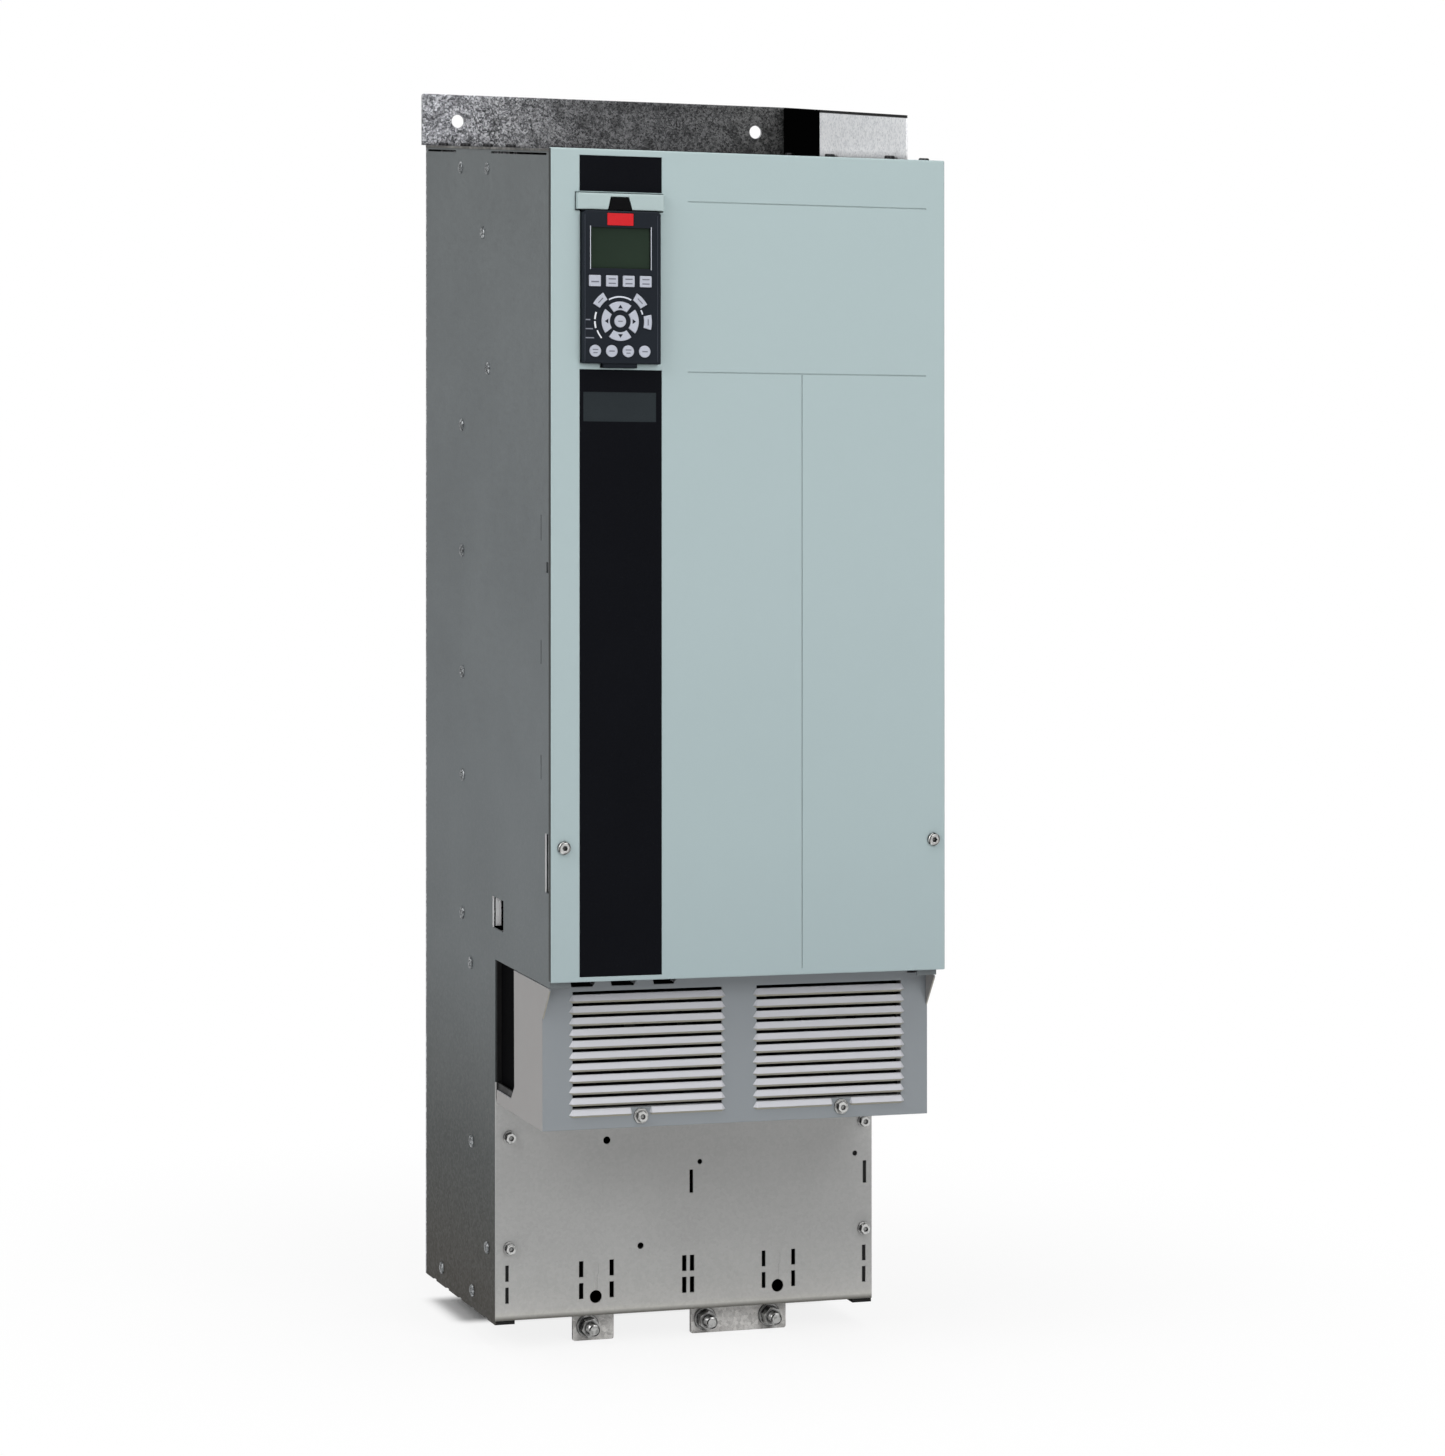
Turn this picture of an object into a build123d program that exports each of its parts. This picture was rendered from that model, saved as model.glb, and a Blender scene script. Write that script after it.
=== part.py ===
from build123d import *
import math
import os

# Chassis-type variable frequency drive for wall mounting, with a rear cooling channel.
# Millimetres. X to the right seen from the front, Y to the back, Z up.
# X = 0 is the middle of the front cover, Z = 0 is the underside of the earthing bars.
# In the measurements below Y = 0 is the mounting plane (rear face); the finished pieces
# are moved back by Y_SHIFT, so that the origin is under the middle of the overall box.

# ---------------------------------------------------------------- driving dimensions
# Housing
LEFT_X, RIGHT_X = -178.5, 174.5     # outer faces of the side panels
SHEET = 1.5                         # side panels, channel wall and brackets
INNER_LEFT_X, INNER_RIGHT_X = LEFT_X + SHEET, RIGHT_X - SHEET
SIDES = ((LEFT_X, 1), (RIGHT_X, -1))    # outer face, direction into the housing
REAR_T = 2.5                        # rear panel sheet
BODY_Z0 = 22.0                      # underside of the side panels
TOP_Z, TOP_T = 1038.0, 2.0          # top plate: underside, thickness
TOP_FACE_Z = TOP_Z + TOP_T
FLANGE_TOP = 1086.6                 # upper edge of the mounting flange
DUCT_Y = -196.0                     # rear face of the wall in front of the cooling channel
DUCT_FRONT_Y = DUCT_Y - SHEET
NOTCH_Z = 338.0                     # the side panels stop at the channel below this
PLATE_Z0 = 25.7                     # lower edge of the lower front plate

# Covers
COVER_HALF_W = 180.0
COVER_Y, COVER_T = -346.0, 3.0      # painted cover: front face, thickness
COVER_Z0, COVER_Z1 = 343.3, 1041.3
LOUVRE_Y, LOUVRE_T = -320.5, 1.2    # terminal cover: front face, thickness
LOUVRE_REAR_Y = LOUVRE_Y + LOUVRE_T
LOUVRE_X0, LOUVRE_X1 = LEFT_X + 0.2, RIGHT_X - 0.3
LOUVRE_Z0, LOUVRE_Z1 = 214.5, 337.0

# Keypad
KEYPAD_X = -118.6                   # middle
KEYPAD_W, KEYPAD_H = 69.0, 128.1
KEYPAD_X0, KEYPAD_X1 = KEYPAD_X - KEYPAD_W / 2, KEYPAD_X + KEYPAD_W / 2
KEYPAD_Z0 = 861.7
KEYPAD_Z1 = KEYPAD_Z0 + KEYPAD_H
FACE_Y = -353.0                     # front face of the keypad
FACE_REAR_Y = FACE_Y + 2.0
KEY_OUT = 1.1                       # key faces stand this far out of the keypad
KEY_CLEAR = 0.3
KEY_FRONT_Y = FACE_Y - KEY_OUT
Y_SHIFT = -KEY_FRONT_Y / 2

# Screws: (x, z), except the top screws: (x, y)
COVER_SCREWS = ((-168.3, 456.0), (168.9, 456.0))
LOUVRE_SCREWS = ((-90.2, 224.0), (93.4, 224.0))
PLATE_SCREWS = ((-165.7, 183.8), (-165.7, 88.0), (166.7, 183.6), (166.7, 88.1))
FLANGE_SCREWS = ((164.0, -126.5), (164.0, -263.0), (164.0, -30.0))
TOP_SCREWS = (
    (-168.0, -18.9), (-168.0, -82.2), (-168.0, -145.0), (-168.0, -207.5), (-168.0, -331.0),
    (167.0, -331.0),
) + FLANGE_SCREWS
BAR_SCREWS = (-94.0, 30.0, 76.0)    # x of the earthing bar screws
BAR_SCREW_Y = -169.0
SCREW_HOLE_R, SHANK_R = 2.35, 2.2   # chassis screws
SLOT_W = 4.4                        # screwdriver slot: length, width
SLOT_T = 1.1

# Fans
FAN_Z = 82.0                        # seat of the heatsink fans
FAN_X, FAN_Y = (-89.0, 85.0), -99.0
FAN_H = 50.0
FAN_HOLE_PITCH, FAN_HOLE_R = 146.0, 2.2
MIX_X, MIX_Y = 96.0, -262.0
MIX_HOLE_PITCH, MIX_HOLE_R = 82.5, 2.15

os.makedirs("parts", exist_ok=True)


# ---------------------------------------------------------------- helpers
def block(x0, x1, y0, y1, z0, z1):
    """Box between corner coordinates, in either order."""
    centre = Pos((x0 + x1) / 2, (y0 + y1) / 2, (z0 + z1) / 2)
    return centre * Box(abs(x1 - x0), abs(y1 - y0), abs(z1 - z0))


def rod_x(y, z, radius, x0, x1):
    return Pos((x0 + x1) / 2, y, z) * Rot(0, 90, 0) * Cylinder(radius, abs(x1 - x0))


def rod_y(x, z, radius, y0, y1):
    return Pos(x, (y0 + y1) / 2, z) * Rot(90, 0, 0) * Cylinder(radius, abs(y1 - y0))


def rod_z(x, y, radius, z0, z1):
    return Pos(x, y, (z0 + z1) / 2) * Cylinder(radius, abs(z1 - z0))


def join(items):
    return items[0].fuse(*items[1:])


def cut(body, tools):
    return body.cut(*tools)


def prism_xz(points, y0, y1):
    """Closed outline in X, Z, extruded from y0 to y1."""
    face = Face(Wire.make_polygon([Vector(x, y0, z) for x, z in points], close=True))
    return Solid.extrude(face, Vector(0, y1 - y0, 0))


def prism_yz(points, x0, x1):
    """Closed outline in Y, Z, extruded from x0 to x1."""
    face = Face(Wire.make_polygon([Vector(x0, y, z) for y, z in points], close=True))
    return Solid.extrude(face, Vector(x1 - x0, 0, 0))


def hexagon_y(x, z, corner_r, y0, y1, turn=0.0):
    angles = [math.radians(60 * i + turn) for i in range(6)]
    return prism_xz([(x + corner_r * math.cos(a), z + corner_r * math.sin(a)) for a in angles],
                    y0, y1)


def corner_radius(across_flats):
    return across_flats / math.sqrt(3)


def circles(body):
    return body.edges().filter_by(GeomType.CIRCLE)


def round_front(body, radius, y_limit):
    """Fillet the circular edges in front of y_limit."""
    return body.fillet(radius, [e for e in circles(body) if e.center().Y < y_limit])


def square_holes(x, y, pitch, radius, z0, z1):
    """Four upright hole tools on a square."""
    reach = pitch / 2
    return [rod_z(x + i * reach, y + j * reach, radius, z0, z1) for i in (-1, 1) for j in (-1, 1)]


def diagonal_bars(x, y, z, middle_r, length, width, height):
    """Four radial bars on the diagonals."""
    return [Pos(x, y, z) * Rot(0, 0, 45 + 90 * k) * Pos(middle_r, 0, 0)
            * Box(length, width, height) for k in range(4)]


def wall_opening(x0, x1, z0, z1):
    """Tool through the wall in front of the cooling channel."""
    return block(x0, x1, DUCT_Y - 3, DUCT_Y + 1, z0, z1)


def top_opening(x0, x1, y0, y1):
    """Tool through the top plate."""
    return block(x0, x1, y0, y1, TOP_Z - 1, TOP_FACE_Z + 1)


def solids_of(shape):
    if isinstance(shape, (list, tuple)):
        return [solid for item in shape for solid in solids_of(item)]
    return list(shape.solids())


def save(name, shape):
    solids = [s.moved(Location((0, Y_SHIFT, 0))) for s in solids_of(shape)]
    item = solids[0] if len(solids) == 1 else Compound(children=solids)
    export_step(item, os.path.join("parts", name + ".step"))


# ---------------------------------------------------------------- side panels
# Rivets that join the side sheets to the frames behind them: (y, z)
RIVETS = (
    (-104.5, 794.0), (-105.0, 683.3), (-106.0, 576.7), (-106.5, 485.4), (-106.0, 363.8),
    (-101.3, 1021.2), (-175.0, 1021.1), (-162.5, 965.3), (-176.5, 847.5), (-129.5, 323.7),
    (-47.7, 37.5), (-134.0, 37.7), (-174.5, 84.4), (-132.0, 167.8),
)
# Openings in the side sheets: (y0, y1, z0, z1)
WINDOW = (-218.5, -189.5, 364.8, 391.8)
LONG_SLOT = (-337.6, -328.0, 416.3, 466.0)
SMALL_OPENING = (-335.6, -330.6, 684.5, 693.5)
NARROW_SLITS = tuple((-318.1, -316.5, z0, z1)
                     for z0, z1 in ((710.3, 732.0), (606.7, 627.0), (509.7, 530.0)))
RIM_GAPS = tuple((y0, y1, TOP_Z - 3.4, TOP_Z - SHEET)       # under the rim of the top plate
                 for y0, y1 in ((-87.0, -6.0), (-331.0, -185.0)))
RELIEF_NOTCHES = tuple((-31.0 - 36.0 * i, -22.0 - 36.0 * i, BODY_Z0 - 1, BODY_Z0 + 1.2)
                       for i in range(5))
# Tongues at the rear edge of an opening: opening, thickness, gap at each end, reach
TONGUES = ((WINDOW, 1.2, 1.2, 6.0), (LONG_SLOT, 1.2, 1.0, 5.0), (SMALL_OPENING, 1.0, 0.0, 5.5))
PANEL_FRONT_Y = -339.5
PANEL_FLANGE = 18.0                 # flange depth from the outer face


def side_panel(outer_x, inward):
    inner_x = outer_x + inward * SHEET
    edge_x = outer_x + inward * PANEL_FLANGE
    flange_front_y = PANEL_FRONT_Y + SHEET
    flange_rear_y = -REAR_T - SHEET
    sheet = prism_yz([(PANEL_FRONT_Y, NOTCH_Z), (PANEL_FRONT_Y, TOP_Z), (-REAR_T, TOP_Z),
                      (-REAR_T, BODY_Z0), (DUCT_Y, BODY_Z0), (DUCT_Y, NOTCH_Z)],
                     outer_x, inner_x)
    flanges = [block(inner_x, edge_x, *limits) for limits in (
        (PANEL_FRONT_Y, flange_front_y, NOTCH_Z, TOP_Z),            # behind the cover
        (DUCT_Y, DUCT_Y + SHEET, BODY_Z0, NOTCH_Z),                 # front of the channel
        (flange_rear_y, -REAR_T, BODY_Z0, TOP_Z),                   # rear
        (flange_front_y, flange_rear_y, TOP_Z - SHEET, TOP_Z),      # top
        (DUCT_Y + SHEET, flange_rear_y, BODY_Z0, BODY_Z0 + SHEET),  # bottom
    )]
    body = join([sheet] + flanges)
    tongues = [block(inner_x, inner_x + inward * reach, y1 - thickness, y1, z0 + gap, z1 - gap)
               for (_, y1, z0, z1), thickness, gap, reach in TONGUES]
    body = join([body] + tongues)

    tool_x0, tool_x1 = min(outer_x, inner_x) - 1, max(outer_x, inner_x) + 1
    tools = [rod_x(y, z, 1.7, tool_x0, tool_x1) for y, z in RIVETS]
    tools += [block(tool_x0, tool_x1, *opening)
              for opening in (WINDOW, *NARROW_SLITS, LONG_SLOT, SMALL_OPENING)]
    tools += [rod_y(x, z, 3.0, -341, -300) for x, z in COVER_SCREWS if x * inward < 0]
    tools += [rod_y(x, z, SCREW_HOLE_R, DUCT_Y - 2, DUCT_Y + 4)
              for x, z in PLATE_SCREWS if x * inward < 0]
    tools += [rod_z(x, y, SCREW_HOLE_R, TOP_Z - 4, TOP_Z + 1)
              for x, y in TOP_SCREWS if x * inward < 0]
    tools += [block(tool_x0, tool_x1, *opening) for opening in RIM_GAPS + RELIEF_NOTCHES]
    return cut(body, tools)


def left_side_panel():
    return side_panel(*SIDES[0])


def right_side_panel():
    return side_panel(*SIDES[1])


# ---------------------------------------------------------------- rear panel and top
WALL_HOLE_X, WALL_HOLE_Z, WALL_HOLE_R = (-149.0, 141.0), 1062.6, 6.0    # upper mounting holes
FOOT_HOLE_X, FOOT_HOLE_Z, FOOT_HOLE_R = (-86.5, 83.5), 41.8, 4.5        # lower mounting holes
FLANGE_X0, FLANGE_X1 = -182.8, 172.0                                    # mounting flange
UPRIGHT_X = 170.5                   # inner face of the right-hand upright flange
UPRIGHT_Y0, UPRIGHT_Y1 = -284.0, -REAR_T - 0.3


def rear_panel():
    """Rear sheet with the mounting flange above it."""
    rear = join([block(LEFT_X, RIGHT_X, -REAR_T, 0, BODY_Z0, TOP_FACE_Z),
                 block(FLANGE_X0, FLANGE_X1, -REAR_T, 0, TOP_FACE_Z, FLANGE_TOP)])
    upper = [e for e in rear.edges().filter_by(Axis.Y) if e.center().Z > FLANGE_TOP - 1]
    rear = rear.fillet(2.5, upper)
    return cut(rear, [rod_y(x, WALL_HOLE_Z, WALL_HOLE_R, -REAR_T - 1, 1) for x in WALL_HOLE_X]
               + [rod_y(x, FOOT_HOLE_Z, FOOT_HOLE_R, -REAR_T - 1, 1) for x in FOOT_HOLE_X])


def top_plate():
    plate = block(LEFT_X - 1.0, RIGHT_X + 1.0, -341.0, -REAR_T, TOP_Z, TOP_FACE_Z)
    tools = [rod_z(x, y, SCREW_HOLE_R, TOP_Z - 1, TOP_FACE_Z + 1) for x, y in TOP_SCREWS]
    # outlet of the cooling channel: three windows split by two bars
    tools += [top_opening(x, x + 96.0, -184.0, -14.0) for x in (-154.0, -50.0, 54.0)]
    # vent slots over the electronics
    for i in range(9):
        x = -150.0 + 19.0 * i
        tools.append(top_opening(x, x + 5.0, -322.0, -218.0))
    # ring openings of the mixing fan guard, interrupted by spokes
    for inner_r, outer_r in ((12.0, 20.0), (24.0, 32.0), (36.0, 43.0)):
        disc = rod_z(MIX_X, MIX_Y, outer_r, TOP_Z - 1, TOP_FACE_Z + 1)
        ring = disc.cut(rod_z(MIX_X, MIX_Y, inner_r, TOP_Z - 2, TOP_FACE_Z + 2))
        spokes = diagonal_bars(MIX_X, MIX_Y, TOP_Z + 1, 28, 60, 3.2, 12)
        tools += solids_of(cut(ring, spokes))
    tools += square_holes(MIX_X, MIX_Y, MIX_HOLE_PITCH, MIX_HOLE_R, TOP_Z - 1, TOP_FACE_Z + 1)
    return cut(plate, tools)


def right_top_flange():
    """Angle on the top plate: an upright sheet with a screwed foot."""
    upright = prism_yz([(UPRIGHT_Y0, TOP_FACE_Z), (UPRIGHT_Y1, TOP_FACE_Z),
                        (UPRIGHT_Y1, FLANGE_TOP - 0.1), (UPRIGHT_Y0, 1080.2)],
                       UPRIGHT_X, UPRIGHT_X + SHEET)
    foot = block(155.0, UPRIGHT_X, UPRIGHT_Y0, UPRIGHT_Y1, TOP_FACE_Z, TOP_FACE_Z + SHEET)
    return cut(join([upright, foot]),
               [rod_z(x, y, SCREW_HOLE_R, TOP_Z, TOP_Z + 6) for x, y in FLANGE_SCREWS])


def flange_seal():
    """Pad on the inner face of the upright flange."""
    z0 = TOP_FACE_Z + SHEET
    return prism_yz([(-86.8, z0), (-4.0, z0), (-4.0, 1086.0), (-86.8, 1084.1)],
                    UPRIGHT_X - 1.7, UPRIGHT_X)


# ---------------------------------------------------------------- wall of the cooling channel
# Cable-tie slots in two rows: (middle x, width)
TIE_SLOTS = ((-168.0, 3.2), (-100.0, 4.2), (-71.8, 4.2), (-4.1, 4.2),
             (3.2, 4.2), (70.8, 3.6), (99.0, 3.8), (166.8, 3.4))
TIE_SLOT_ROWS = ((59.3, 73.3), (40.3, 54.3))
# Upper slots: (middle x, width, z0, z1)
UPPER_SLOTS = ((2.5, 3.4, 127.7, 148.1), (167.5, 3.4, 128.5, 148.4))
ACCESS_X, ACCESS_Z, ACCESS_R = (-86.5, 84.0), 41.8, 5.6
# Small round holes: (x, z, radius)
SMALL_HOLES = ((-76.3, 177.4, 3.3), (-45.0, 83.8, 2.9), (10.5, 154.7, 2.3), (158.2, 155.2, 2.3))
FOOT_REAR_Y = -140.0


def keyhole_mark(x):
    """Shallow sunk mark above an access hole: a rounded slot on a narrow stem."""
    y0, y1 = DUCT_Y - 2, DUCT_Y - 1.25
    return join([block(x - 2.5, x + 2.5, y0, y1, 63.0, 69.0),
                 rod_y(x, 69.0, 2.5, y0, y1), rod_y(x, 63.0, 2.5, y0, y1),
                 block(x - 1.2, x + 1.2, y0, y1, 46.0, 63.0)])


def lower_front_plate():
    tools = [rod_y(x, z, SCREW_HOLE_R, DUCT_Y - 3, DUCT_Y + 1) for x, z in PLATE_SCREWS]
    slots = [(x, w, z0, z1) for x, w in TIE_SLOTS for z0, z1 in TIE_SLOT_ROWS]
    tools += [wall_opening(x - w / 2, x + w / 2, z0, z1)
              for x, w, z0, z1 in slots + list(UPPER_SLOTS)]
    tools += [rod_y(x, ACCESS_Z, ACCESS_R, -143.0, -138.5) for x in ACCESS_X]
    access = tuple((x, ACCESS_Z, ACCESS_R) for x in ACCESS_X)
    tools += [rod_y(x, z, r, DUCT_Y - 3, DUCT_Y + 1) for x, z, r in SMALL_HOLES + access]
    # the foot turns back under the channel, then up again behind the slots
    foot_z1 = PLATE_Z0 + SHEET
    plate = join([block(LEFT_X, RIGHT_X, DUCT_FRONT_Y, DUCT_Y, PLATE_Z0, 232.0),
                  block(-159.0, 155.0, DUCT_Y, FOOT_REAR_Y, PLATE_Z0, foot_z1),
                  block(-159.0, 155.0, FOOT_REAR_Y - SHEET, FOOT_REAR_Y, foot_z1, 62.0)])
    tools += [rod_z(x, BAR_SCREW_Y, SCREW_HOLE_R, 25, 28) for x in BAR_SCREWS]
    tools += [keyhole_mark(x) for x in ACCESS_X]
    return cut(plate, tools)


def duct_partition():
    """Wall between channel and electronics, open behind the power modules."""
    wall = block(INNER_LEFT_X, INNER_RIGHT_X, DUCT_FRONT_Y, DUCT_Y, 232.4, TOP_Z - SHEET)
    window_z = (WINDOW[2] - 2, WINDOW[3] + 2)
    return cut(wall, [
        wall_opening(-150.0, 146.0, 470.0, 612.0),
        wall_opening(-150.0, 146.0, 806.0, 872.0),
        # clear of the top flanges and window tongues of the side panels
        wall_opening(LEFT_X + 1, INNER_LEFT_X + 18, TOP_Z - 4, TOP_Z),
        wall_opening(INNER_RIGHT_X - 18, RIGHT_X - 1, TOP_Z - 4, TOP_Z),
        wall_opening(LEFT_X, LEFT_X + 14.0, *window_z),
        wall_opening(RIGHT_X - 14.0, RIGHT_X, *window_z),
    ])


# ---------------------------------------------------------------- heatsink and power modules
HEATSINK_X0, HEATSINK_X1 = -158.0, 154.0
HEATSINK_Z0, HEATSINK_Z1 = 440.0, 880.0
FIN_COUNT, FIN_T = 35, 2.0
MODULE_X = (-102.0, -2.0, 94.0)


def heatsink():
    first_x = HEATSINK_X0 + 1.0
    travel = HEATSINK_X1 - HEATSINK_X0 - 2.0 - FIN_T
    fins = []
    for i in range(FIN_COUNT):
        x = first_x + travel * i / (FIN_COUNT - 1)
        fins.append(block(x, x + FIN_T, -182.0, -14.0, HEATSINK_Z0, HEATSINK_Z1))
    base = block(HEATSINK_X0, HEATSINK_X1, DUCT_Y, -181.0, HEATSINK_Z0, HEATSINK_Z1)
    return join([base] + fins)


def igbt_modules():
    front_y, pad_y = -226.0, -230.0
    return [join([block(x - 43, x + 43, front_y, DUCT_Y, 486.0, 596.0)]
                 + [block(x + dx - 7, x + dx + 7, pad_y, front_y, 492.0, 510.0)
                    for dx in (-24, 0, 24)]
                 + [rod_y(x, 576.0, 6.0, pad_y, front_y)])
            for x in MODULE_X]


def rectifier_modules():
    front_y = -222.0
    return [join([block(x - 40, x + 40, front_y, DUCT_Y, 812.0, 866.0)]
                 + [rod_y(x + dx, 839.0, 6.5, front_y - 4.0, front_y) for dx in (-25, 0, 25)])
            for x in MODULE_X]


# ---------------------------------------------------------------- DC link
CAP_ROWS = (664.0, 744.0)
CAP_FRONT_Y, CAP_POST_Y = -298.0, -304.0
BUS_T, BUS_RISER_W = 2.0, 12.0
BUS_TURN_Z = 598.0                  # where the risers turn back to the modules


def capacitor(x, z):
    can = rod_y(x, z, 35.0, CAP_FRONT_Y, DUCT_FRONT_Y)
    can = round_front(can, 3.0, -290)
    groove = rod_y(x, z, 40.0, -291.0, -288.0).cut(rod_y(x, z, 33.2, -295.0, -284.0))
    can = can.cut(groove)
    return join([can] + [rod_y(x, z + side * 11.0, 5.0, CAP_POST_Y, CAP_FRONT_Y)
                         for side in (-1, 1)])


def capacitor_bank():
    return [capacitor(x, z) for x in (-128.0, -52.0, 24.0, 100.0) for z in CAP_ROWS]


def dc_busbar(x0, x1, below_row, riser_x, riser_top):
    """A bar along each capacitor row, a riser, and its return to the modules."""
    front_y, foot_y = CAP_POST_Y - BUS_T, -226.0
    bars = [block(x0, x1, front_y, CAP_POST_Y, z + below_row, z + below_row + 10.0)
            for z in CAP_ROWS]
    riser = [block(riser_x, riser_x + BUS_RISER_W, *limits) for limits in (
        (front_y, CAP_POST_Y, BUS_TURN_Z, riser_top),
        (CAP_POST_Y, foot_y, BUS_TURN_Z, BUS_TURN_Z + BUS_T),
        (foot_y - BUS_T, foot_y, 570.0, BUS_TURN_Z),
    )]
    return join(bars + riser)


def dc_busbars():
    return [dc_busbar(-152.0, 112.0, 6.0, riser_x=-152.0, riser_top=760.0),
            dc_busbar(-137.0, 126.0, -16.0, riser_x=114.0, riser_top=738.0)]


def dc_choke():
    """Two-window core in the channel above the heatsink, with a coil on its middle leg."""
    core = block(-70.0, 66.0, -160.0, -60.0, 905.0, 1015.0).cut(
        block(-40.0, -16.0, -162.0, -58.0, 930.0, 990.0),
        block(12.0, 36.0, -162.0, -58.0, 930.0, 990.0))
    coil = block(-39.5, 35.5, -176.0, -44.0, 934.0, 986.0)
    return [core, coil.cut(block(-15.5, 11.5, -160.4, -59.6, 930.0, 990.0))]


# ---------------------------------------------------------------- circuit cards
CARD_T = 1.6
POWER_CARD_Y, CONTROL_CARD_Y = -316.0, -322.0       # front faces
# Components on the cards: (middle x, middle z, width, height, depth)
POWER_COMPONENTS = (
    (0.0, 840.0, 60, 30, 12), (110.0, 830.0, 44, 44, 16), (130.0, 700.0, 30, 60, 10),
    (20.0, 610.0, 90, 14, 10), (130.0, 610.0, 44, 16, 12), (60.0, 730.0, 34, 34, 5),
    (-20.0, 720.0, 26, 18, 9), (72.0, 660.0, 20, 44, 12),
)
CONTROL_COMPONENTS = (
    (-110.0, 790.0, 30, 30, 4), (-80.0, 740.0, 14, 40, 6), (-140.0, 740.0, 16, 24, 5),
    (-110.0, 725.0, 22, 22, 3), (-72.0, 810.0, 16, 16, 8),
)
CONTROL_TERMINALS = ((-153.0, 10), (-97.0, 6))      # left end, number of ways
WAY_PITCH = 5.0
CONTROL_TERMINAL_Z = 652.0


def card(x0, x1, front_y, z0, z1, components):
    """Board with its components on the front."""
    return join([block(x0, x1, front_y, front_y + CARD_T, z0, z1)]
                + [block(x - w / 2, x + w / 2, front_y - depth, front_y, z - h / 2, z + h / 2)
                   for x, z, w, h, depth in components])


def power_card():
    return card(-48.0, 164.0, POWER_CARD_Y, 575.0, 865.0, POWER_COMPONENTS)


def control_terminal(x0, ways):
    z, front_y = CONTROL_TERMINAL_Z, -334.0
    lefts = [x0 + WAY_PITCH * i for i in range(ways)]
    body = block(x0, x0 + ways * WAY_PITCH, front_y, CONTROL_CARD_Y, z - 7, z + 9)
    tools = [block(x + 0.9, x + 4.1, front_y - 1, -328.0, z - 5.0, z - 1.2) for x in lefts]
    tools += [rod_y(x + WAY_PITCH / 2, z + 4.5, 1.5, front_y - 1, -332.0) for x in lefts]
    return cut(body, tools)


def control_card():
    return ([card(-160.0, -58.0, CONTROL_CARD_Y, 640.0, 838.0, CONTROL_COMPONENTS)]
            + [control_terminal(x0, ways) for x0, ways in CONTROL_TERMINALS])


# ---------------------------------------------------------------- fans
def fan_frame(x, y, z0, z1, half_side, corner_r, bore_r, hub_r, hub_z0, hub_z1,
              strut_middle_r, strut_l, strut_w, axle_r, axle_z0, axle_z1, hole_pitch, hole_r):
    """Square frame with a hub on four struts and an axle for the rotor."""
    frame = block(x - half_side, x + half_side, y - half_side, y + half_side, z0, z1)
    frame = frame.fillet(corner_r, frame.edges().filter_by(Axis.Z))
    frame = frame.cut(rod_z(x, y, bore_r, z0 - 1, z1 + 1))
    hub = rod_z(x, y, hub_r, hub_z0, hub_z1)
    struts = diagonal_bars(x, y, (hub_z0 + hub_z1) / 2, strut_middle_r,
                           strut_l, strut_w, hub_z1 - hub_z0)
    axle = rod_z(x, y, axle_r, axle_z0, axle_z1)
    return cut(join([frame, hub, axle] + struts),
               square_holes(x, y, hole_pitch, hole_r, z0 - 1, z1 + 1))


def fan_rotor(x, y, z0, z1, hub_r, blade_middle_r, blade_l, blade_t, blade_chord, rake,
              bore_r, bore_z0, bore_z1):
    """Axial rotor: a hub bored for the frame's axle, and seven flat raked blades."""
    hub = rod_z(x, y, hub_r, z0, z1)
    blades = [Pos(x, y, (z0 + z1) / 2) * Rot(0, 0, 360.0 * k / 7) * Pos(blade_middle_r, 0, 0)
              * Rot(rake, 0, 0) * Box(blade_l, blade_t, blade_chord) for k in range(7)]
    return join([hub] + blades).cut(rod_z(x, y, bore_r, bore_z0, bore_z1))


def fan_plate():
    z0, z1 = FAN_Z - 4, FAN_Z + 2
    plate = block(INNER_LEFT_X, INNER_RIGHT_X, DUCT_Y + SHEET, -REAR_T - SHEET,
                  FAN_Z - 2.0, FAN_Z)
    tools = [rod_z(x, FAN_Y, 74.0, z0, z1) for x in FAN_X]
    for x in FAN_X:
        tools += square_holes(x, FAN_Y, FAN_HOLE_PITCH, FAN_HOLE_R, z0, z1)
    return cut(plate, tools)


def heatsink_fan_frames():
    hub_z0 = FAN_Z + 44.0
    return [fan_frame(x, FAN_Y, FAN_Z, FAN_Z + FAN_H, half_side=82.0, corner_r=10.0,
                      bore_r=78.0, hub_r=30.0, hub_z0=hub_z0, hub_z1=FAN_Z + FAN_H,
                      strut_middle_r=54.5, strut_l=51.0, strut_w=7.0,
                      axle_r=4.0, axle_z0=FAN_Z + 20.0, axle_z1=hub_z0,
                      hole_pitch=FAN_HOLE_PITCH, hole_r=FAN_HOLE_R)
            for x in FAN_X]


def heatsink_fan_rotor(x):
    z0, z1, hub_r, tip_r, rake = FAN_Z + 6.0, FAN_Z + 42.0, 32.0, 74.0, 52.0
    # the raked blades span 0.736 of the hub height, apart from their thickness
    chord = (z1 - z0) * 0.736 / math.cos(math.radians(rake))
    # each blade starts 2 inside the hub
    return fan_rotor(x, FAN_Y, z0, z1, hub_r, blade_middle_r=(hub_r + tip_r) / 2 - 1,
                     blade_l=tip_r - hub_r + 2, blade_t=2.4, blade_chord=chord, rake=rake,
                     bore_r=4.05, bore_z0=z1 - 23.0, bore_z1=z1 + 1)


def heatsink_fan_rotor_left():
    return heatsink_fan_rotor(FAN_X[0])


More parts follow.
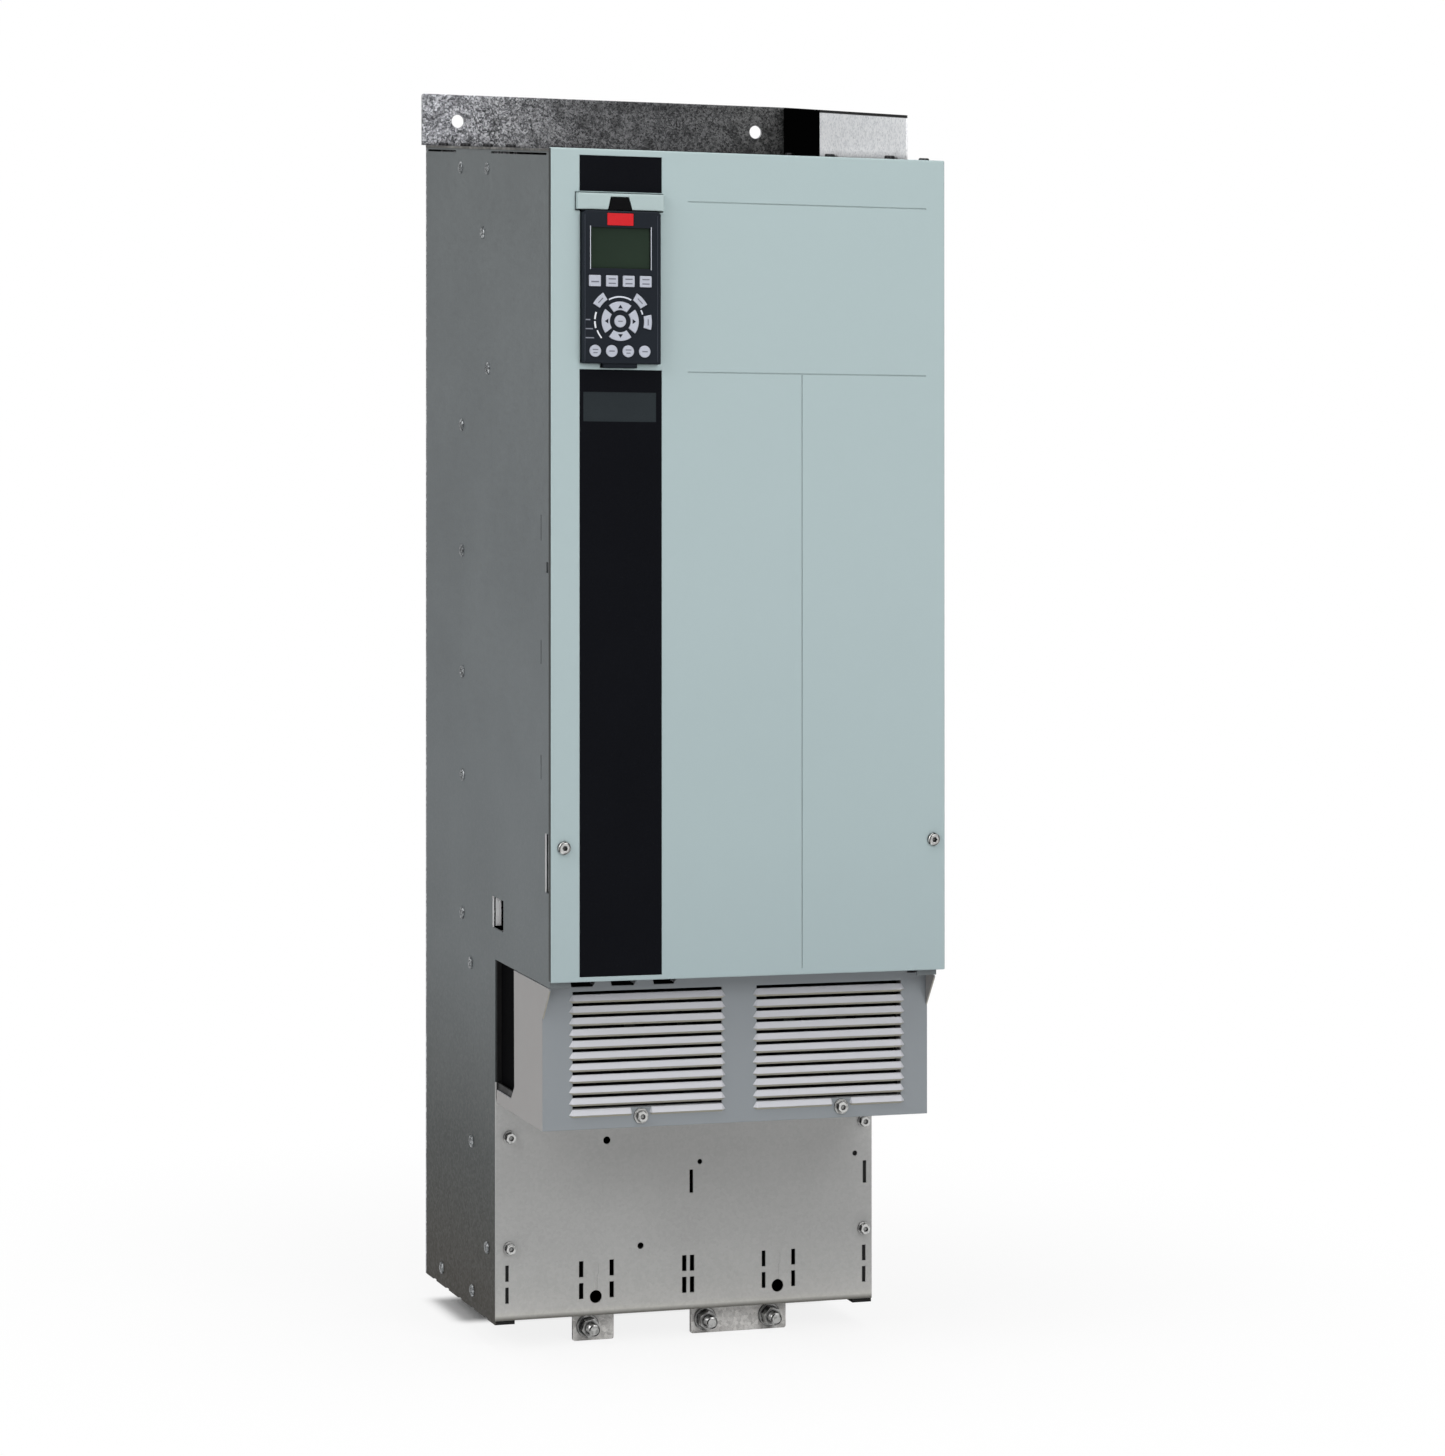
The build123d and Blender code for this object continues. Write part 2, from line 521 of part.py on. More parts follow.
def heatsink_fan_rotor_right():
    return heatsink_fan_rotor(FAN_X[1])


def mixing_fan_frame():
    z0 = TOP_Z - 25.0
    return fan_frame(MIX_X, MIX_Y, z0, TOP_Z, half_side=46.0, corner_r=5.0, bore_r=43.5,
                     hub_r=15.0, hub_z0=z0, hub_z1=z0 + 3.5,
                     strut_middle_r=29.0, strut_l=31.0, strut_w=4.0,
                     axle_r=2.0, axle_z0=z0 + 3.5, axle_z1=TOP_Z - 9.0,
                     hole_pitch=MIX_HOLE_PITCH, hole_r=MIX_HOLE_R)


def mixing_fan_rotor():
    return fan_rotor(MIX_X, MIX_Y, TOP_Z - 20.5, TOP_Z - 3.5, hub_r=17.0,
                     blade_middle_r=29.0, blade_l=25.5, blade_t=1.4, blade_chord=15.0,
                     rake=48, bore_r=2.05, bore_z0=TOP_Z - 21.0, bore_z1=TOP_Z - 8.5)


# ---------------------------------------------------------------- front cover
# Rectangles on the cover: (x0, x1, z0, z1)
COVER_WINDOWS = (
    (-153.9, -83.3, 861.2, 990.2),      # keypad
    (-158.3, -79.7, 989.2, 1004.9),     # raised lip of the cradle
    (-136.1, -103.5, 857.6, 862.0),     # hook under the keypad
)
INLAY_POCKETS = ((-154.4, -80.8, 1005.6, 1035.8), (-154.4, -80.8, 347.4, 856.3))
COVER_GROOVES = ((-57.3, 162.4, 998.6, 999.5), (-57.3, 162.0, 854.6, 855.5),
                 (46.3, 47.2, 349.0, 854.8))
POCKET_DEPTH, GROOVE_DEPTH = 1.6, 0.45
INLAY_GAP, INLAY_SUNK = 0.2, 0.5        # gap around the inlays, depth of their faces
COVER_WALL, COVER_RIM_DEPTH = 1.4, 5.0


def front_cover():
    half_w, rear_y = COVER_HALF_W, COVER_Y + COVER_T
    outer = block(-half_w, half_w, COVER_Y, COVER_Y + COVER_RIM_DEPTH, COVER_Z0, COVER_Z1)
    # front outline and the four corner edges
    outer = outer.fillet(1.2, [
        e for e in outer.edges()
        if abs(e.center().Y - COVER_Y) < 0.1
        or (abs(abs(e.center().X) - half_w) < 0.1 and abs(e.center().Y - COVER_Y - 2.5) < 0.3)])
    cover = outer.cut(block(-half_w + COVER_WALL, half_w - COVER_WALL, rear_y, COVER_Y + 6.0,
                            COVER_Z0 + COVER_WALL, COVER_Z1 - COVER_WALL))
    tools = [block(x0, x1, COVER_Y - 1, end_y, z0, z1)
             for rectangles, end_y in ((COVER_WINDOWS, rear_y + 1),
                                       (INLAY_POCKETS, COVER_Y + POCKET_DEPTH),
                                       (COVER_GROOVES, COVER_Y + GROOVE_DEPTH))
             for x0, x1, z0, z1 in rectangles]
    tools += [rod_y(x, z, 2.8, COVER_Y - 1, rear_y + 3) for x, z in COVER_SCREWS]
    return cut(cover, tools)


def black_inlays():
    """Upper label, and long lower strip with a shallow blank name field."""
    upper, lower = [block(x0 + INLAY_GAP, x1 - INLAY_GAP, COVER_Y + INLAY_SUNK,
                          COVER_Y + POCKET_DEPTH, z0 + INLAY_GAP, z1 - INLAY_GAP)
                    for x0, x1, z0, z1 in INLAY_POCKETS]
    field = block(-150.9, -85.8, COVER_Y - 1, COVER_Y + 0.8, 812.6, 837.4)
    return [upper, lower.cut(field)]


def cover_screw(x, z):
    head = rod_y(x, z, 5.6, COVER_Y - 3.4, COVER_Y)
    head = round_front(head, 1.9, COVER_Y - 3)
    head = head.cut(hexagon_y(x, z, 2.4, COVER_Y - 4, COVER_Y - 1.2))
    return join([head, rod_y(x, z, 2.45, COVER_Y, -322.0)])


def cover_screws():
    return [cover_screw(x, z) for x, z in COVER_SCREWS]


def cover_brackets():
    """Nut plates behind the side panels' front flanges."""
    plates = []
    for (x, z), (outer_x, inward) in zip(COVER_SCREWS, SIDES):
        edge_x = outer_x + inward * SHEET
        plate = block(edge_x + inward * 1.0, edge_x + inward * 19.0, -338.0, -335.5,
                      z - 11.0, z + 11.0)
        plates.append(plate.cut(rod_y(x, z, 2.5, -340.0, -330.0)))
    return plates


# ---------------------------------------------------------------- louvred terminal cover
LOUVRE_PITCH, LOUVRE_ROWS = 9.65, 11
TOP_SLIT_Z = 328.05                 # lower edge of the uppermost slits
SLIT_H = 2.7
BLADE_GROUPS = ((-151.6, -16.8), (15.0, 149.4))     # x ranges
RIDGE_OUT = 2.6                     # how far a blade's ridge stands out of the sheet
BLADE_SLOPE, BLADE_UNDER = 4.9, 2.05    # heights above and below the ridge
BLADE_POINT, SCREW_POINT = 3.3, 1.8     # pointed ends, normally and beside a screw
SCREW_GAP = 9.4                     # from a screw to the blades of the lowest row
# Hook cut-outs in the upper edge: (x0, x1) at the top
HOOK_CUTS = ((-154.0, -130.0), (-118.0, -93.0), (-80.0, -57.0))
# Side cheek outline: (y, z)
CHEEK = (
    (LOUVRE_Y, LOUVRE_Z0), (-200.0, LOUVRE_Z0), (-200.0, 226.0), (-238.0, 226.0),
    (-247.0, 237.5), (-246.0, LOUVRE_Z1), (-338.0, LOUVRE_Z1), (-338.0, LOUVRE_Z1 - 1.5),
    (LOUVRE_Y, 309.0),
)


def blade(x0, x1, z_top, left_point, right_point):
    """Formed blade: slopes out from the slit to a ridge, then back under; pointed ends."""
    y = LOUVRE_Y
    z_ridge = z_top - BLADE_SLOPE
    z_bottom = z_ridge - BLADE_UNDER
    corners = [(x0, y, z_top), (x1, y, z_top), (x1 + right_point, y, z_ridge),
               (x1, y, z_bottom), (x0, y, z_bottom), (x0 - left_point, y, z_ridge),
               (x0, y - RIDGE_OUT, z_ridge), (x1, y - RIDGE_OUT, z_ridge)]
    faces = [(0, 1, 7, 6), (4, 6, 7, 3), (0, 6, 5), (5, 6, 4), (1, 2, 7), (2, 3, 7),
             (0, 5, 4, 3, 2, 1)]
    shell = Shell([Face(Wire.make_polygon([Vector(*corners[i]) for i in face], close=True))
                   for face in faces])
    solid = Solid(shell)
    return solid if solid.volume > 0 else -solid


def blade_hollow(x0, x1, z_top):
    """Wedge that hollows a blade from behind."""
    z_ridge = z_top - BLADE_SLOPE
    return prism_yz([(LOUVRE_REAR_Y + 0.01, z_top - 1.3),
                     (LOUVRE_Y - RIDGE_OUT + 1.4, z_ridge + 0.2),
                     (LOUVRE_REAR_Y + 0.01, z_ridge - BLADE_UNDER + 1.1)], x0 + 1.0, x1 - 1.0)


def louvre_cover():
    x0, x1 = LOUVRE_X0, LOUVRE_X1
    y0, y1 = LOUVRE_Y, LOUVRE_REAR_Y
    z0, z1 = LOUVRE_Z0, LOUVRE_Z1
    blades, tools = [], []
    for (group_x0, group_x1), (screw_x, _) in zip(BLADE_GROUPS, LOUVRE_SCREWS):
        for row in range(LOUVRE_ROWS):
            z = TOP_SLIT_Z - LOUVRE_PITCH * row
            spans = [(group_x0, group_x1, BLADE_POINT, BLADE_POINT)]
            if row == LOUVRE_ROWS - 1:
                # the lowest row leaves room for the screw
                spans = [(group_x0, screw_x - SCREW_GAP, BLADE_POINT, SCREW_POINT),
                         (screw_x + SCREW_GAP, group_x1, SCREW_POINT, BLADE_POINT)]
            tools.append(block(group_x0, group_x1, y0 - 1, y1 + 1, z, z + SLIT_H))
            for left, right, left_point, right_point in spans:
                blades.append(blade(left, right, z, left_point, right_point))
                tools.append(blade_hollow(left, right, z))
    tools += [prism_xz([(left, z1 + 4), (right, z1 + 4),
                        (right - 3.5, z1 - 2.2), (left + 1.5, z1 - 2.2)], y0 - 1, y1 + 10)
              for left, right in HOOK_CUTS]
    cover = join([
        block(x0, x1, y0, y1, z0, z1),
        prism_yz(CHEEK, x0, x0 + LOUVRE_T),
        prism_yz(CHEEK, x1 - LOUVRE_T, x1),
        block(x0, x1, y1, y1 + 9.0, z1 - LOUVRE_T, z1),         # top lip
        block(x0, x1, y1, y1 + 2.5, z0, z0 + LOUVRE_T),         # bottom lip
        block(-159.5, 155.5, y0, y1, z1, z1 + 2.8),             # raised rim
    ] + blades)
    cover = cut(cover, tools)
    return cut(cover, [rod_y(x, z, 2.8, y0 - 2, y1 + 2) for x, z in LOUVRE_SCREWS])


def washer_screw(x, z, seat_y, washer, washer_t, turn, shank_r, shank_end_y):
    """Hexagon screw with a washer and a round recess in its head."""
    under_y = seat_y - washer_t
    head = hexagon_y(x, z, corner_radius(8.0), seat_y - 5.0, under_y, turn)
    shank = rod_y(x, z, shank_r, under_y, shank_end_y)
    return join([washer, head, shank]).cut(rod_y(x, z, 2.3, seat_y - 5.6, seat_y - 3.4))


def louvre_screws():
    screws = []
    for x, z in LOUVRE_SCREWS:
        washer = round_front(rod_y(x, z, 6.6, LOUVRE_Y - 1.4, LOUVRE_Y), 0.6, LOUVRE_Y - 1)
        screws.append(washer_screw(x, z, LOUVRE_Y, washer, 1.4, 20.0, 2.45, LOUVRE_Y + 15.0))
    return screws


def terminal_rail():
    """Rail that the terminal cover's screws enter, with side arms to the channel wall."""
    left_x, right_x = LOUVRE_X0 + LOUVRE_T + 0.4, LOUVRE_X1 - LOUVRE_T - 0.4
    y0 = LOUVRE_REAR_Y + 0.4
    y1 = y0 + SHEET
    z = (217.0, 232.0)
    parts = [block(left_x, right_x, y0, y1, *z)]
    for x, inward in ((left_x, 1), (right_x, -1)):
        arm_x = x + inward * SHEET
        parts.append(block(x, arm_x, y1, DUCT_FRONT_Y, *z))
        parts.append(block(arm_x, x + inward * 13.6, DUCT_FRONT_Y - SHEET, DUCT_FRONT_Y, *z))
    return cut(join(parts), [rod_y(x, z, 2.5, LOUVRE_REAR_Y - 1, LOUVRE_REAR_Y + 4)
                             for x, z in LOUVRE_SCREWS])


# ---------------------------------------------------------------- power terminals
SHIELD_X0, SHIELD_X1 = -173.0, 169.0
SHIELD_Y, SHIELD_T = -264.0, 2.0
SHIELD_Z0, SHIELD_Z1 = 219.0, 336.0
SHIELD_SLOT_X = (-125.3, -76.0, -26.7, 22.7, 72.0, 121.3)
BLOCK_X0, BLOCK_W, BLOCK_Z0, BLOCK_Z1 = -150.0, 296.0, 262.0, 318.0
PHASES = 6
PHASE_X = [BLOCK_X0 + BLOCK_W * (i + 0.5) / PHASES for i in range(PHASES)]
BAR_HALF_W = 12.5
BAR_Y0, BAR_Y1, BAR_Y2 = -234.0, -230.0, -226.0     # upper bar front, joint, lower bar rear
BOLT_Z = 290.0


def terminal_shield():
    """Insulating shield over the power terminals."""
    rear_y = SHIELD_Y + SHIELD_T
    shield = join([
        block(SHIELD_X0, SHIELD_X1, SHIELD_Y, rear_y, SHIELD_Z0, SHIELD_Z1),
        block(SHIELD_X0, SHIELD_X0 + SHIELD_T, rear_y, DUCT_FRONT_Y, SHIELD_Z0, SHIELD_Z1),
        block(SHIELD_X1 - SHIELD_T, SHIELD_X1, rear_y, DUCT_FRONT_Y, SHIELD_Z0, SHIELD_Z1),
        block(SHIELD_X0, SHIELD_X1, rear_y, -240.0, SHIELD_Z1 - SHIELD_T, SHIELD_Z1),
    ])
    shield = cut(shield, [block(x - 9.0, x + 9.0, SHIELD_Y - 1, rear_y + 1, 282.0, 298.0)
                          for x in SHIELD_SLOT_X])
    # clear of the terminal rail's feet
    return cut(shield, [block(x0, x1, DUCT_Y - 3.3, DUCT_Y - 1.4, 216.0, 232.6)
                        for x0, x1 in ((-177.0, -162.0), (158.0, 172.0))])


def terminal_block():
    parts = [block(BLOCK_X0, BLOCK_X0 + BLOCK_W, BAR_Y2, DUCT_FRONT_Y, BLOCK_Z0, BLOCK_Z1)]
    for i in range(1, PHASES):
        x = BLOCK_X0 + BLOCK_W * i / PHASES
        parts.append(block(x - 1.5, x + 1.5, -252.0, BAR_Y2, BLOCK_Z0, BLOCK_Z1))
    return join(parts)


def ac_busbar(x, mains):
    limits = [(BAR_Y1, BAR_Y2, 268.0, 330.0)]
    if mains:
        # forward over the capacitors and up to the rectifiers
        limits += [(BAR_Y0, BAR_Y1, 322.0, 470.0), (-312.0, BAR_Y0, 466.0, 470.0),
                   (-312.0, -309.0, 470.0, 849.0), (-309.0, BAR_Y2, 845.0, 849.0),
                   (BAR_Y1, BAR_Y2, 829.0, 845.0)]
    else:
        limits.append((BAR_Y0, BAR_Y1, 322.0, 512.0))
    bar = join([block(x - BAR_HALF_W, x + BAR_HALF_W, *limit) for limit in limits])
    return bar.cut(rod_y(x, BOLT_Z, 5.3, -240.0, -220.0))


def ac_busbars():
    return [ac_busbar(x, mains=i < 3) for i, x in enumerate(PHASE_X)]


def terminal_bolts():
    """Nut, washer, stud end and sleeve in front of each bar."""
    return [join([hexagon_y(x, BOLT_Z, corner_radius(16.0), -247.0, -240.5, 12.0 + 7 * i),
                  rod_y(x, BOLT_Z, 10.5, -240.5, -238.0),
                  rod_y(x, BOLT_Z, 5.0, -254.0, -240.5),
                  rod_y(x, BOLT_Z, 9.0, -238.0, BAR_Y1)])
            for i, x in enumerate(PHASE_X)]


# ---------------------------------------------------------------- earthing bars
EARTH_Y0, EARTH_T = -181.0, 3.0
EARTH_Y1 = EARTH_Y0 + EARTH_T
STUDS = ((-88.3, 12.6), (21.5, 12.6), (82.4, 12.6))     # (x, z)
STUD_R, STUD_HOLE_R = 5.0, 5.05


def earthing_bar(x0, x1, studs, screws):
    """Angle: upright bar with a flange turned back under the lower front plate."""
    flange_z = PLATE_Z0 - EARTH_T
    bar = join([block(x0, x1, EARTH_Y0, EARTH_Y1, 0.0, PLATE_Z0),
                block(x0, x1, EARTH_Y1, -162.0, flange_z, PLATE_Z0)])
    bar = bar.fillet(2.0, [e for e in bar.edges().filter_by(Axis.Y) if e.center().Z < 1])
    return cut(bar, [rod_y(x, z, STUD_HOLE_R, EARTH_Y0 - 2, EARTH_Y1 + 2) for x, z in studs]
               + [rod_z(x, BAR_SCREW_Y, SCREW_HOLE_R, 20, 28) for x in screws])


def ground_bars():
    return [earthing_bar(-101.8, -64.0, STUDS[:1], BAR_SCREWS[:1]),
            earthing_bar(8.2, 98.4, STUDS[1:], BAR_SCREWS[1:])]


def ground_studs():
    studs = []
    for x, z in STUDS:
        stud = rod_y(x, z, STUD_R, EARTH_Y0 - 18.0, EARTH_Y1)
        stud = stud.chamfer(0.8, None,
                            [e for e in circles(stud) if e.center().Y < EARTH_Y0 - 17])
        studs.append(join([stud, rod_y(x, z, 9.0, EARTH_Y1, EARTH_Y1 + 4.0)]))
    return studs


def ground_nuts():
    nuts = []
    for i, (x, z) in enumerate(STUDS):
        flange = rod_y(x, z, 10.3, EARTH_Y0 - 2.0, EARTH_Y0)
        flange = round_front(flange, 0.8, EARTH_Y0 - 1.5)
        nut = join([flange, hexagon_y(x, z, corner_radius(15.0), EARTH_Y0 - 10.0,
                                      EARTH_Y0 - 2.0, 10.0 + 17.0 * i)])
        nuts.append(nut.cut(rod_y(x, z, STUD_HOLE_R, EARTH_Y0 - 12.0, EARTH_Y0 + 1.0)))
    return nuts


# ---------------------------------------------------------------- chassis screws and rivets
def plate_screw(x, z):
    washer = rod_y(x, z, 5.8, DUCT_FRONT_Y - 1.2, DUCT_FRONT_Y)
    return washer_screw(x, z, DUCT_FRONT_Y, washer, 1.2, 15.0, SHANK_R, DUCT_Y + 8.0)


def top_screw(x, y, seat_z):
    head = rod_z(x, y, 4.6, seat_z, seat_z + 3.0)
    head = head.fillet(1.4, [e for e in circles(head) if e.center().Z > seat_z + 2.5])
    screw = join([head, rod_z(x, y, SHANK_R, TOP_Z - 8.0, seat_z)])
    return screw.cut(Pos(x, y, seat_z + 2.6) * Box(SLOT_W, SLOT_T, 2.4))


def bar_screw(x):
    seat_z = PLATE_Z0 - EARTH_T
    screw = join([rod_z(x, BAR_SCREW_Y, 4.4, 20.0, seat_z),
                  rod_z(x, BAR_SCREW_Y, SHANK_R, seat_z, 34.0)])
    return screw.cut(Pos(x, BAR_SCREW_Y, 20.2) * Box(SLOT_W, SLOT_T, 1.8))


def chassis_screws():
    screws = [plate_screw(x, z) for x, z in PLATE_SCREWS]
    for x, y in TOP_SCREWS:
        packing = SHEET if (x, y) in FLANGE_SCREWS else 0.0
        screws.append(top_screw(x, y, TOP_FACE_Z + packing))
    return screws + [bar_screw(x) for x in BAR_SCREWS]


def rivet(outer_x, inward, y, z):
    head_x = outer_x - inward * 1.4
    head = rod_x(y, z, 5.3, outer_x, head_x)
    head = head.fillet(1.1, [e for e in circles(head) if abs(e.center().X - head_x) < 0.05])
    head = head.cut(rod_x(y, z, 2.6, outer_x - inward * 0.5, outer_x - inward * 3.0))
    return join([head, rod_x(y, z, 1.6, outer_x + inward * 3.0, outer_x - inward * 1.2)])


def side_rivets():
    return [rivet(outer_x, inward, y, z) for outer_x, inward in SIDES for y, z in RIVETS]


# ---------------------------------------------------------------- keypad
DISPLAY_X0, DISPLAY_X1, DISPLAY_Z0, DISPLAY_Z1 = -147.2, -93.4, 941.4, 975.8
NAV_X, NAV_Z = -120.9, 897.3        # centre of the navigation keys
# Status lights, ring sectors about the navigation centre: (inner r, outer r, start, end angle)
LEDS = ((21.7, 23.1, 161.0, 176.5), (21.7, 23.1, 181.0, 195.5), (21.2, 22.4, 201.5, 221.0))
BOARD_Y0, BOARD_Y1 = -347.3, -345.7


def keypad_cradle():
    lip = block(-157.6, -80.4, -351.5, -330.0, 990.5, 1004.3)
    lip = lip.fillet(1.0, [e for e in lip.edges() if abs(e.center().Y + 351.5) < 0.1])
    tray = block(-160.0, -75.0, -340.5, -324.0, 852.0, 1010.0)
    tray = tray.cut(block(KEYPAD_X0 - 0.6, KEYPAD_X1 + 0.6, -342.0, -326.0,
                          KEYPAD_Z0 - 4.2, KEYPAD_Z1 + 0.6))
    cradle = join([tray, lip])
    # notch of the latch
    cradle = cradle.cut(prism_xz([(-131.4, 989.0), (-108.6, 989.0), (-112.1, 1001.6),
                                  (-128.5, 1001.6)], -356.0, -344.0))
    # socket opening for the keypad's rear plug
    return cradle.cut(block(KEYPAD_X - 16.0, KEYPAD_X + 16.0, -328.0, -322.0, 905.0, 920.0))


def nav_point(radius, angle, y=0.0):
    a = math.radians(angle)
    return Vector(NAV_X + radius * math.cos(a), y, NAV_Z + radius * math.sin(a))


def sector_solid(inner_r, outer_r, start, end, grow, y0, y1):
    """Ring sector about the navigation centre, grown through its radii and angles."""
    grow_angle = math.degrees(grow / ((inner_r + outer_r) / 2))
    inner, outer = inner_r - grow, outer_r + grow
    a0, a1 = start - grow_angle, end + grow_angle
    middle = (a0 + a1) / 2

    def point(radius, angle):
        return nav_point(radius, angle, y0)

    wire = Wire([
        Edge.make_three_point_arc(point(outer, a0), point(outer, middle), point(outer, a1)),
        Edge.make_line(point(outer, a1), point(inner, a1)),
        Edge.make_three_point_arc(point(inner, a1), point(inner, middle), point(inner, a0)),
        Edge.make_line(point(inner, a0), point(outer, a0)),
    ])
    return Solid.extrude(Face(wire), Vector(0, y1 - y0, 0))


# A key is a pair: make(grow, y0, y1) for its outline, and the (x, z) of its plunger.
def box_key(x, z, width, height):
    def make(grow, y0, y1):
        half_w, half_h = width / 2 + grow, height / 2 + grow
        body = block(x - half_w, x + half_w, y0, y1, z - half_h, z + half_h)
        return body.fillet(0.8 + grow * 0.5, body.edges().filter_by(Axis.Y))
    return make, (x, z)


def round_key(x, z, radius):
    return lambda grow, y0, y1: rod_y(x, z, radius + grow, y0, y1), (x, z)


def sector_key(inner_r, outer_r, start, end, plunger_r, plunger_angle):
    plunger = nav_point(plunger_r, plunger_angle)
    return (lambda grow, y0, y1: sector_solid(inner_r, outer_r, start, end, grow, y0, y1),
            (plunger.X, plunger.Z))


KEYS = {}
for name, x in (("status", -143.4), ("quick_menu", -128.2), ("main_menu", -113.3),
                ("alarm_log", -98.1)):
    KEYS["key_" + name] = box_key(x, 930.9, 10.4, 9.4)
for name, x in (("hand_on", -143.1), ("off", -128.4), ("auto_on", -113.7), ("reset", -99.0)):
    KEYS["key_" + name] = round_key(x, 872.2, 5.0)
KEYS["key_ok"] = round_key(NAV_X, NAV_Z, 5.1)
for name, angle in (("right", 0), ("up", 90), ("left", 180), ("down", 270)):
    KEYS["key_" + name] = sector_key(9.4, 16.5, angle - 37.0, angle + 37.0, 12.9, angle)
KEYS["key_back"] = sector_key(21.2, 28.0, 122.5, 149.0, 24.6, 135.7)
KEYS["key_cancel"] = sector_key(21.2, 28.0, 31.0, 57.5, 24.6, 44.3)
KEYS["key_info"] = sector_key(21.4, 28.2, -14.0, 12.0, 24.6, -1.0)


def keypad_housing():
    house = block(KEYPAD_X0, KEYPAD_X1, FACE_Y, -328.5, KEYPAD_Z0, KEYPAD_Z1)
    upper = [e for e in house.edges().filter_by(Axis.Y) if e.center().Z > KEYPAD_Z1 - 1]
    house = house.chamfer(2.2, None, upper)
    front = [e for e in house.edges() if abs(e.center().Y - FACE_Y) < 0.1]
    house = house.chamfer(0.8, None, front)
    house = house.cut(block(KEYPAD_X0 + 2.0, KEYPAD_X1 - 2.0, FACE_REAR_Y, -327.0,
                            KEYPAD_Z0 + 2.0, KEYPAD_Z1 - 2.0))
    # hook under the lower edge
    house = join([house, block(-134.9, -104.7, -350.6, -344.0, 858.2, KEYPAD_Z0)])
    house = house.cut(block(DISPLAY_X0, DISPLAY_X1, FACE_Y - 1, FACE_REAR_Y + 1,
                            DISPLAY_Z0, DISPLAY_Z1))
    # badge seat above the display
    house = house.cut(block(-132.4, -108.6, FACE_Y - 1, FACE_Y + 0.4, 977.3, 988.1))
    hole_y = (FACE_Y - 1, FACE_REAR_Y + 0.5)
    return cut(house, [make(KEY_CLEAR, *hole_y) for make, _ in KEYS.values()]
               + [sector_solid(*led, 0.12, *hole_y) for led in LEDS])


def key_cap(make, plunger):
    """Cap with a rounded front, a skirt behind the face and a plunger."""
    cap = make(0.0, KEY_FRONT_Y, FACE_REAR_Y + 0.4)
    front = [e for e in cap.edges() if abs(e.center().Y - KEY_FRONT_Y) < 0.05]
    cap = cap.fillet(0.45, front)
    cap = join([cap, make(0.7, FACE_REAR_Y + 0.05, FACE_REAR_Y + 1.2)])
    return join([cap, rod_y(*plunger, 1.6, FACE_REAR_Y + 1.0, FACE_REAR_Y + 2.6)])


def status_leds():
    return [sector_solid(*led, 0.0, FACE_Y - 0.25, FACE_REAR_Y + 0.2) for led in LEDS]


def display_glass():
    return block(DISPLAY_X0 - 1.5, DISPLAY_X1 + 1.5, FACE_REAR_Y, FACE_REAR_Y + 1.5,
                 DISPLAY_Z0 - 1.2, DISPLAY_Z1 + 1.2)


def keypad_board():
    """Board with the rear plug and the display module."""
    return join([block(KEYPAD_X0 + 2.4, KEYPAD_X1 - 2.4, BOARD_Y0, BOARD_Y1,
                       KEYPAD_Z0 + 2.4, KEYPAD_Z1 - 2.4),
                 block(KEYPAD_X - 15.4, KEYPAD_X + 15.4, BOARD_Y1, -327.0, 905.6, 919.4),
                 block(DISPLAY_X0 - 2.0, DISPLAY_X1 + 2.0, BOARD_Y0 - 2.0, BOARD_Y0,
                       DISPLAY_Z0 - 2.0, DISPLAY_Z1 + 2.0)])


def keypad_latch():
    """Tapered latch above the keypad, with a small nib below it."""
    z0 = KEYPAD_Z1 + 0.7
    latch = prism_xz([(-130.5, z0), (-109.5, z0), (-113.0, 1000.6), (-127.6, 1000.6)],
                     -351.2, -348.4)
    return join([latch, block(-122.5, -117.5, -350.6, -348.8, KEYPAD_Z1 + 0.25, z0 + 0.05)])


# ---------------------------------------------------------------- write the pieces
# Each file is named after the function that builds the piece.
for build in (
    left_side_panel, right_side_panel, rear_panel, top_plate, right_top_flange, flange_seal,
    lower_front_plate, duct_partition, heatsink, igbt_modules, rectifier_modules,
    capacitor_bank, dc_busbars, power_card, control_card, dc_choke, fan_plate,
    heatsink_fan_frames, heatsink_fan_rotor_left, heatsink_fan_rotor_right,
    mixing_fan_frame, mixing_fan_rotor, front_cover, black_inlays, cover_screws,
    cover_brackets, louvre_cover, louvre_screws, terminal_rail, terminal_shield,
    terminal_block, ac_busbars, terminal_bolts, ground_bars, ground_studs, ground_nuts,
    chassis_screws, side_rivets, keypad_cradle, keypad_housing, status_leds,
    display_glass, keypad_board, keypad_latch,
):
    save(build.__name__, build())
for name, (make, plunger) in KEYS.items():
    save(name, key_cap(make, plunger))
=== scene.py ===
# A tall wall-mounted drive cabinet: galvanised sheet body, powder-coated front cover with a keypad,
# louvred terminal cover below it. It stands on z = 0 with its front towards -Y, x running across.
# Materials are in metres, the added details in millimetres.
import bpy, bmesh, math
from mathutils import Vector, Matrix


